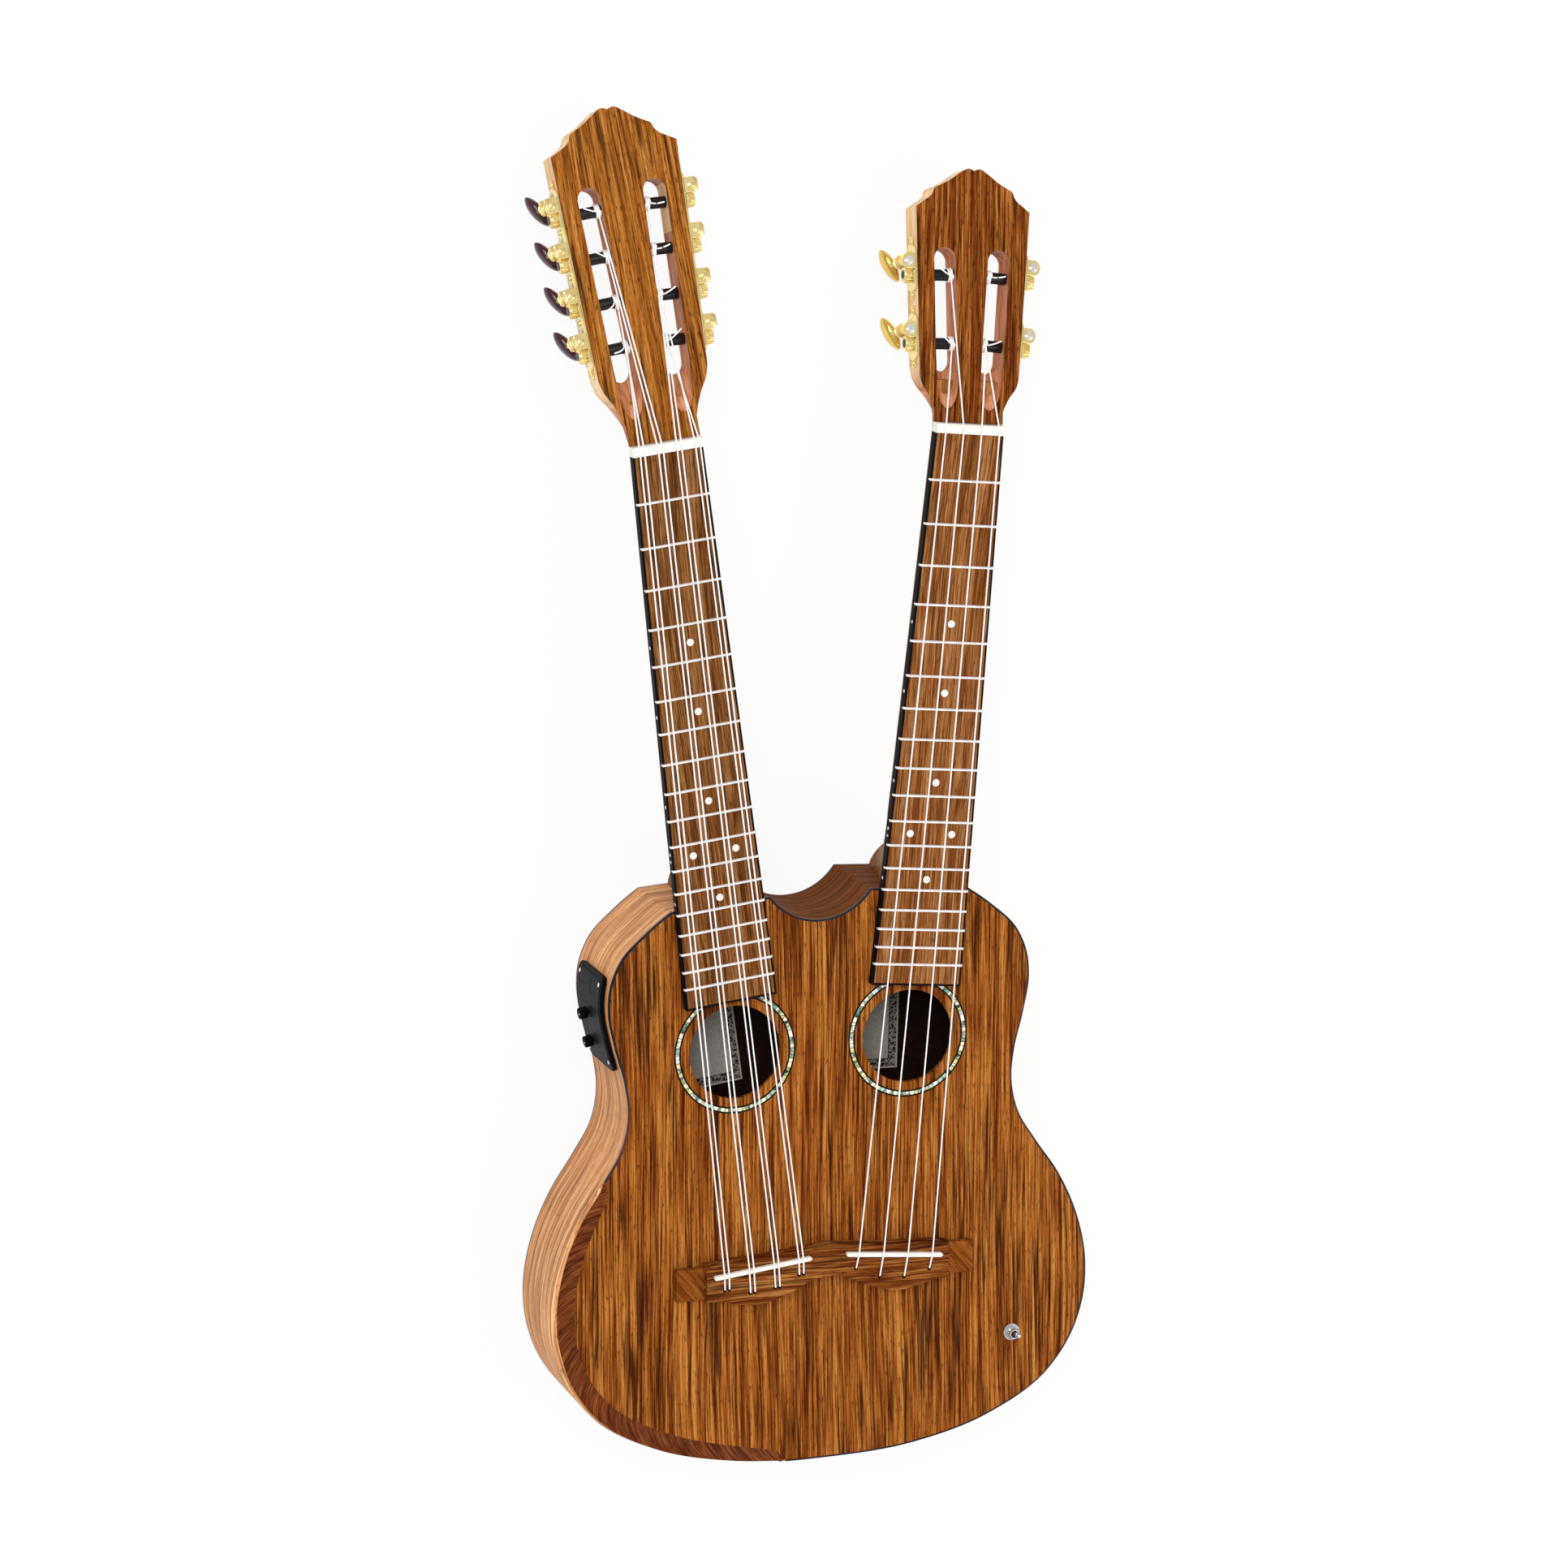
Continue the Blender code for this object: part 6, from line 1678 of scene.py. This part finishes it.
def make_button(side, row, name, s):
    """A threaded worm on its spindle, a domed cap in front, collar rings and an oval button."""
    matrix = row_frame(side, row)
    place = np.array((row * WORM_STAND, s + WORM_TO_POST, 0.0))
    front, rear = PLATE_FRONT - TAB_THICK - 0.0003, REAR_TAB + TAB_THICK + 0.0003
    steps = np.linspace(front, rear, 60)
    ease = np.clip(np.minimum(front - steps, steps - rear) / 0.0008, 0, 1)
    base = SPINDLE_RADIUS + (WORM_RADIUS - SPINDLE_RADIUS) * ease

    def thread(angle, height):
        return 1 - 0.13 * (0.5 + 0.5 * np.cos(angle - 2 * math.pi * height / WORM_PITCH))

    gold = Form().grid(lathe(np.c_[base, steps], 28, "Z", thread) + place)
    ring_a, ring_b = REAR_TAB - 0.0006, REAR_TAB - 0.0030
    c = COLLAR_RADIUS
    collar = [
        (SPINDLE_RADIUS, rear + 0.0004), (SPINDLE_RADIUS, REAR_TAB - 0.0002),
        (c - 0.0004, ring_a), (c, ring_a - 0.0004), (c, ring_a - 0.0012),
        (c - 0.0009, ring_a - 0.0016), (c - 0.0009, ring_b + 0.0003), (c, ring_b),
        (c, ring_b - 0.0008), (c - 0.0005, ring_b - 0.0012), (0.0017, -0.0186),
        (0.0017, -BUTTON_DEPTH + BUTTON_HALF_LENGTH - 0.0006),
    ]
    gold.grid(lathe(collar, 36) + place)
    put(f"{name}_worm", gold, GOLD, [name], body=name, matrix=matrix)
    r, finish = (0.0024, PEARLY) if side == "right" else (0.0021, GOLD)
    cap = [(r, PLATE_FRONT - 0.0002), (r, PLATE_FRONT + 0.0003)]
    cap = Form().grid(lathe(cap + dome(r, PLATE_FRONT + 0.0003, 0.0008), 40) + place)
    put(f"{name}_cap", cap, finish, (), body=name, matrix=matrix)
    grip = Form().grid(button_grip(row) + place)
    finish, slot = (PLUM, "dark_button") if side == "left" else (GOLD_BUTTON, "gold_button")
    put(f"{name}_grip", grip, finish, [name], body=name, matrix=matrix, angle=50.0)


def button_grip(row):
    """An oval button round its spindle: ellipses whose sizes follow a half circle along it."""
    t = np.sin(np.linspace(-1.53, 1.53, 25))
    angle = np.arange(40) * 2 * math.pi / 40
    swell = np.sqrt(1 - t**2)[:, None]
    wide = np.maximum(BUTTON_HALF_WIDTH * swell, 0.0004)
    u = wide * np.cos(angle)
    lens = np.sign(np.sin(angle)) * np.abs(np.sin(angle)) ** 1.25
    v = np.maximum(BUTTON_HALF_THICK * swell**0.8, 0.0004) * lens
    turn = math.radians(BUTTON_TURN) * row
    x = u * math.cos(turn) - v * math.sin(turn)
    y = u * math.sin(turn) + v * math.cos(turn)
    z = np.broadcast_to((-BUTTON_DEPTH - t * BUTTON_HALF_LENGTH)[:, None], x.shape)
    return np.stack([x, y, z], -1)


def make_tuners(side):
    """One long plate to a row on the left head, a short plate to each post on the right."""
    places = post_places(side)
    for row in (-1, 1):
        label = row_label(side, row)
        if side == "left":
            make_plate(side, row, f"{label}_plate", places)
        for i, s in enumerate(places, 1):
            if side == "right":
                make_plate(side, row, f"{label}_plate_{i}", [s])
            make_post(side, row, f"{side}_{label}_post_{i}", s)
            make_button(side, row, f"{side}_{label}_button_{i}", s)


# Pickup controls

def left_wall(drops, outward):
    """Points on the body's left side at places down it, moved outwards by a distance."""
    drops = np.asarray(drops, float)
    step = 0.003
    slope = half_width(drops + step) - half_width(drops - step)
    way = np.stack([np.full(len(drops), -2 * step), slope], 1)
    way /= np.linalg.norm(way, axis=1)[:, None]
    return np.stack([-half_width(drops), BODY_END_Y - drops], 1) + way * outward, way


def preamp_place(drop, height, outward):
    """The plan of a part on the preamp's face, whose X points straight out of it."""
    flat, way = left_wall([PREAMP_TOP + drop], outward)
    turn = math.degrees(math.atan2(way[0, 1], way[0, 0]))
    return moved(*flat[0], PREAMP_LOW + height) @ turned("Z", turn)


def bent_sheet(shrink, corner, outer, inner, round_edge):
    """A plate bent to the left side: rows down it, each ring from the inner to the outer face.

    Near its ends the rows draw in by a quarter circle, which rounds its corners.
    """
    top, bottom = PREAMP_TOP + shrink, PREAMP_TOP + PREAMP_LENGTH - shrink
    low, high = PREAMP_LOW + shrink, PREAMP_HIGH - shrink
    a = np.linspace(0, math.pi / 2, 9)
    ends = corner * (1 - np.cos(a))
    straight = np.linspace(top + corner, bottom - corner, 40)[1:-1]
    drops = np.concatenate([top + ends, straight, bottom - ends[::-1]])
    cut = np.clip(np.minimum(drops - top, bottom - drops) / corner, 0, 1)
    draw = corner * (1 - np.sqrt(np.clip(1 - (1 - cut) ** 2, 0, 1)))
    r = round_edge
    ring = ((0.0, inner, 0), (0.0, outer - r, 0), (r, outer, 0), (r, outer, 1),
            (0.0, outer - r, 1), (0.0, inner, 1))
    rows = []
    for edge, out, upper in ring:
        z = high - draw - edge if upper else low + draw + edge
        rows.append(np.c_[left_wall(drops, out)[0], z])
    return np.stack(rows, 1)


def patch(drops, heights, outer, inner):
    """A block bent to the left side, between two drops and two heights of the preamp."""
    drops = PREAMP_TOP + np.linspace(*drops, 6)
    low, high = (np.full(len(drops), PREAMP_LOW + height) for height in heights)
    face, back = left_wall(drops, outer)[0], left_wall(drops, inner)[0]
    return np.stack([np.c_[back, low], np.c_[face, low], np.c_[face, high], np.c_[back, high]], 1)


def make_preamp():
    """A bent panel round a darker face, with black patches of painted shade where it has shallow
    recessed places, its screws, box and knobs.
    """
    top = PREAMP_STAND
    tall = PREAMP_HIGH - PREAMP_LOW
    panel = Form().grid(bent_sheet(0.0, PREAMP_CORNER, top - 0.0003, 0.0002, 0.0007))
    sides = (PREAMP_FLANGE, PREAMP_LENGTH - PREAMP_FLANGE), (PREAMP_FLANGE, tall - PREAMP_FLANGE)
    box = Form().grid(patch(*sides, 0.0, -PREAMP_BOX))
    face = Form().grid(bent_sheet(PREAMP_FACE_INSET, 0.0030, top, top - 0.001, 0.0003))
    # The recessed places are flat black patches, a hair proud of the face: painted shade stands for
    # their depth.
    recess_shade = Form()
    for drops, heights in PREAMP_RECESSES:
        recess_shade.grid(patch(drops, heights, top + 0.00006, top - 0.0006))
    for part, form, finish in (
        ("bezel", panel, PANEL_BLACK), ("box", box, PANEL_BLACK), ("face", face, SLATE),
        ("recess_shade", recess_shade, PANEL_BLACK),
    ):
        put(f"preamp_{part}", form, finish, ["preamp_case"])
    screws = Form()
    head = lathe([(0.0011, 0.0), (0.0011, 0.0003), (0.0007, 0.00045)], 20, "X")
    for drop in (PREAMP_SCREW_INSET, PREAMP_LENGTH - PREAMP_SCREW_INSET):
        for height in (PREAMP_SCREW_INSET, tall - PREAMP_SCREW_INSET):
            screws.grid(carried(preamp_place(drop, height, top - 0.0002), head))
    put("preamp_screws", screws, SILVER, ())
    for name, (drop, height) in KNOBS.items():
        make_knob(name, preamp_place(drop, height, top))


def make_knob(name, place):
    """A turned knob with 24 shallow flutes, a dished end and a pale mark."""
    r, end = KNOB_RADIUS, KNOB_LENGTH
    profile = [
        (0.0012, -0.001), (0.0012, 0.0006), (r * 0.96, 0.0006), (r, 0.0009), (r, end * 0.5),
        (r, end - 0.0005), (r - 0.0003, end - 0.0001), (r - 0.0006, end),
        (r - 0.0009, end - 0.0002),
    ]

    def flutes(angle, height):
        return 1 + 0.02 * np.sign(np.cos(24 * angle))

    form = Form().grid(lathe(profile, 144, "X", flutes))
    put(f"{name}_grip", form, PANEL_BLACK, [name], body=name, matrix=place)
    mark = Form().box((end - 0.0003, end + 0.00002), (-0.0002, 0.0002), (0.0006, r - 0.0007))
    put(f"{name}_mark", mark, NYLON, (), body=name, matrix=place)


def six_sided(angle, height):
    """The radius of a hexagon's sides, as a share of its corners'."""
    sector = (angle - TOGGLE_NUT_TURN) % (math.pi / 3) - math.pi / 6
    return math.cos(math.pi / 6) / np.cos(sector)


def make_toggle():
    """Washer, hexagonal nut, threaded bush with a dark well of painted shade in its mouth, and a
    lever with a rounded tip.
    """
    place = moved(TOGGLE_X, BODY_END_Y - TOGGLE_DROP, BODY_DEPTH)
    b, h, w = TOGGLE_BUSH, TOGGLE_BUSH_HEIGHT, TOGGLE_WASHER
    low, high = TOGGLE_WASHER_HEIGHT, TOGGLE_NUT_HEIGHT
    washer = [(w - 0.0002, 0.0), (w, 0.0002), (w, low - 0.0002), (w - 0.0002, low)]
    nut = [(TOGGLE_NUT * 0.97, low), (TOGGLE_NUT, low + 0.0003), (TOGGLE_NUT, high - 0.0004),
           (TOGGLE_NUT * 0.92, high)]
    rise = np.linspace(high, h - 0.0004, 24)
    thread = np.c_[b - 0.00012 + 0.00012 * np.cos(rise / 0.00022), rise]
    mouth = [(b - 0.0004, h), (0.0020, h), (0.0012, h - 0.0016), (0.0003, h - 0.0018)]
    metal = Form().grid(lathe(washer, 48))
    metal.grid(lathe(nut, 72, "Z", six_sided))
    metal.grid(lathe(np.vstack([[(b, -0.010)], thread, mouth]), 48))
    put("toggle_bush", metal, CHROME, ["toggle_switch"], matrix=place, angle=30.0)
    put("toggle_can", Form().box(*TOGGLE_CAN), PANEL_BLACK, ["toggle_switch"],
        matrix=place, bevel=0.0004)
    # A black ring inside the bush's mouth: painted shade round the lever's hole.
    floor = [(0.0019, h - 0.0010), (0.0021, h - 0.00025), (0.0010, h - 0.0003)]
    put("toggle_well_shade", Form().grid(lathe(floor, 36)), ROLLER,
        ["toggle_switch"], matrix=place)
    length = TOGGLE_LENGTH
    stick = [(0.0006, -0.0014), (0.0009, 0.0), (0.0010, length * 0.33), (0.0013, length * 0.78),
             (TOGGLE_TIP, length * 0.86)]
    stick = Form().grid(lathe(stick + dome(TOGGLE_TIP, length * 0.88, length * 0.12), 32))
    lever = place @ moved(0, 0, TOGGLE_PIVOT) @ turned("Y", TOGGLE_LEAN)
    put("toggle_stick", stick, CHROME, ["toggle_lever"], body="toggle_lever",
        matrix=lever)


def dress(name, finish):
    """A solid that stays in view, with a finish of its own."""
    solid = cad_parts[name]
    solid.data.materials.clear()
    solid.data.materials.append(finish)
    return solid


def make_kept_solids():
    """The socket keeps its solid, in chrome with soft edges, and the blocks inside stay bare."""
    soften(dress("output_jack", CHROME), 0.0003)
    for name in ("neck_block", "tail_block"):
        dress(name, BLOCK_WOOD)


# Studio

def make_floor():
    """A pale floor that looks white to the camera and in reflections, and keeps its shadow."""
    floor = Finish("floor", 0.9)
    floor.shader.inputs["Base Color"].default_value = (FLOOR_GREY, FLOOR_GREY, FLOOR_GREY, 1.0)
    ray = floor.rays()
    seen = floor.math("MAXIMUM", ray["Is Camera Ray"], ray["Is Glossy Ray"])
    seen = floor.math("MAXIMUM", seen, ray["Is Transmission Ray"])
    share = floor.math("MULTIPLY", seen, FLOOR_GREY)
    glow = floor.add("ShaderNodeEmission", {"Color": WHITE})
    parts = {0: share, 1: floor.shader.outputs[0], 2: glow}
    surface = floor.tree.nodes["Material Output"].inputs["Surface"]
    floor.tree.links.new(floor.add("ShaderNodeMixShader", parts), surface)
    mesh = bpy.data.meshes.new("floor")
    r = FLOOR_HALF
    corners = [(x, y, FLOOR_DROP) for x, y in ((-r, -r), (r, -r), (r, r), (-r, r))]
    mesh.from_pydata(corners, [], [(0, 1, 2, 3)])
    mesh.materials.append(floor.material)
    ground = bpy.data.objects.new("floor", mesh)
    bpy.context.scene.collection.objects.link(ground)


def make_world():
    """A pale dome: white to the camera, and with grey bands and patches for what shines."""
    world = bpy.data.worlds.new("studio")
    bpy.context.scene.world = world
    world.use_nodes = True
    sky = Nodes(world.node_tree)
    sky.tree.nodes.clear()
    ray = sky.rays()
    way = sky.add("ShaderNodeTexCoord", {})
    height = sky.part(way, "Z")
    dome_light = sky.ramp(height, [(0.0, (0.42, 0.42, 0.43, 1.0)), (0.75, (0.78, 0.78, 0.78, 1.0))])
    bands = sky.ramp(height, [(0.0, 0.5), (0.35, 0.9), (0.6, 0.3), (0.88, 1.0)])
    patches = sky.ramp(sky.noise(way, 1.6, detail=1.0), [(0.44, 0.5), (0.54, 1.0)])
    mirrored = sky.mix(1.0, bands, patches, "MULTIPLY")
    light = sky.mix(ray["Is Glossy Ray"], dome_light, mirrored)
    light = sky.mix(ray["Is Camera Ray"], light, WHITE)
    back = sky.add("ShaderNodeBackground", {0: light})
    out = sky.tree.nodes.new("ShaderNodeOutputWorld")
    sky.tree.links.new(back, out.inputs[0])


def make_lamps():
    """Three large square lamps, each turned to face the body."""
    for name, (place, energy, size) in LAMPS.items():
        lamp = bpy.data.lights.new(name, "AREA")
        lamp.energy = energy
        lamp.size = size
        obj = bpy.data.objects.new(name, lamp)
        bpy.context.scene.collection.objects.link(obj)
        obj.location = place
        aim = np.array(LAMP_AIM) - place
        back = -aim / np.linalg.norm(aim)
        side = np.cross((0, 0, 1.0), back)
        side /= np.linalg.norm(side)
        ways = Matrix(np.stack([side, np.cross(back, side), back], 1).tolist())
        obj.rotation_euler = ways.to_euler()


def make_camera():
    """The camera at the photograph's viewing angle. CAMERA_WAYS are its right, up and back."""
    data = bpy.data.cameras.new("camera")
    data.sensor_fit = "HORIZONTAL"
    data.sensor_width = CAMERA_SENSOR
    data.lens = CAMERA_LENS
    data.clip_start = 0.05
    data.clip_end = 50.0
    camera = bpy.data.objects.new("camera", data)
    bpy.context.scene.collection.objects.link(camera)
    place = moved(*CAMERA_PLACE)
    place[:3, :3] = np.array(CAMERA_WAYS).T
    camera.matrix_world = Matrix(place.tolist())
    bpy.context.scene.camera = camera


def main():
    make_body()
    make_rosettes()
    make_labels()
    make_bridge()
    for side in SIDES:
        make_neck(side)
        make_fretboard(side)
        make_nut(side)
        make_strings(side)
        make_tuners(side)
    make_preamp()
    make_toggle()
    make_kept_solids()
    make_floor()
    make_world()
    make_lamps()
    make_camera()
    bpy.context.scene.view_settings.view_transform = "Standard"


main()
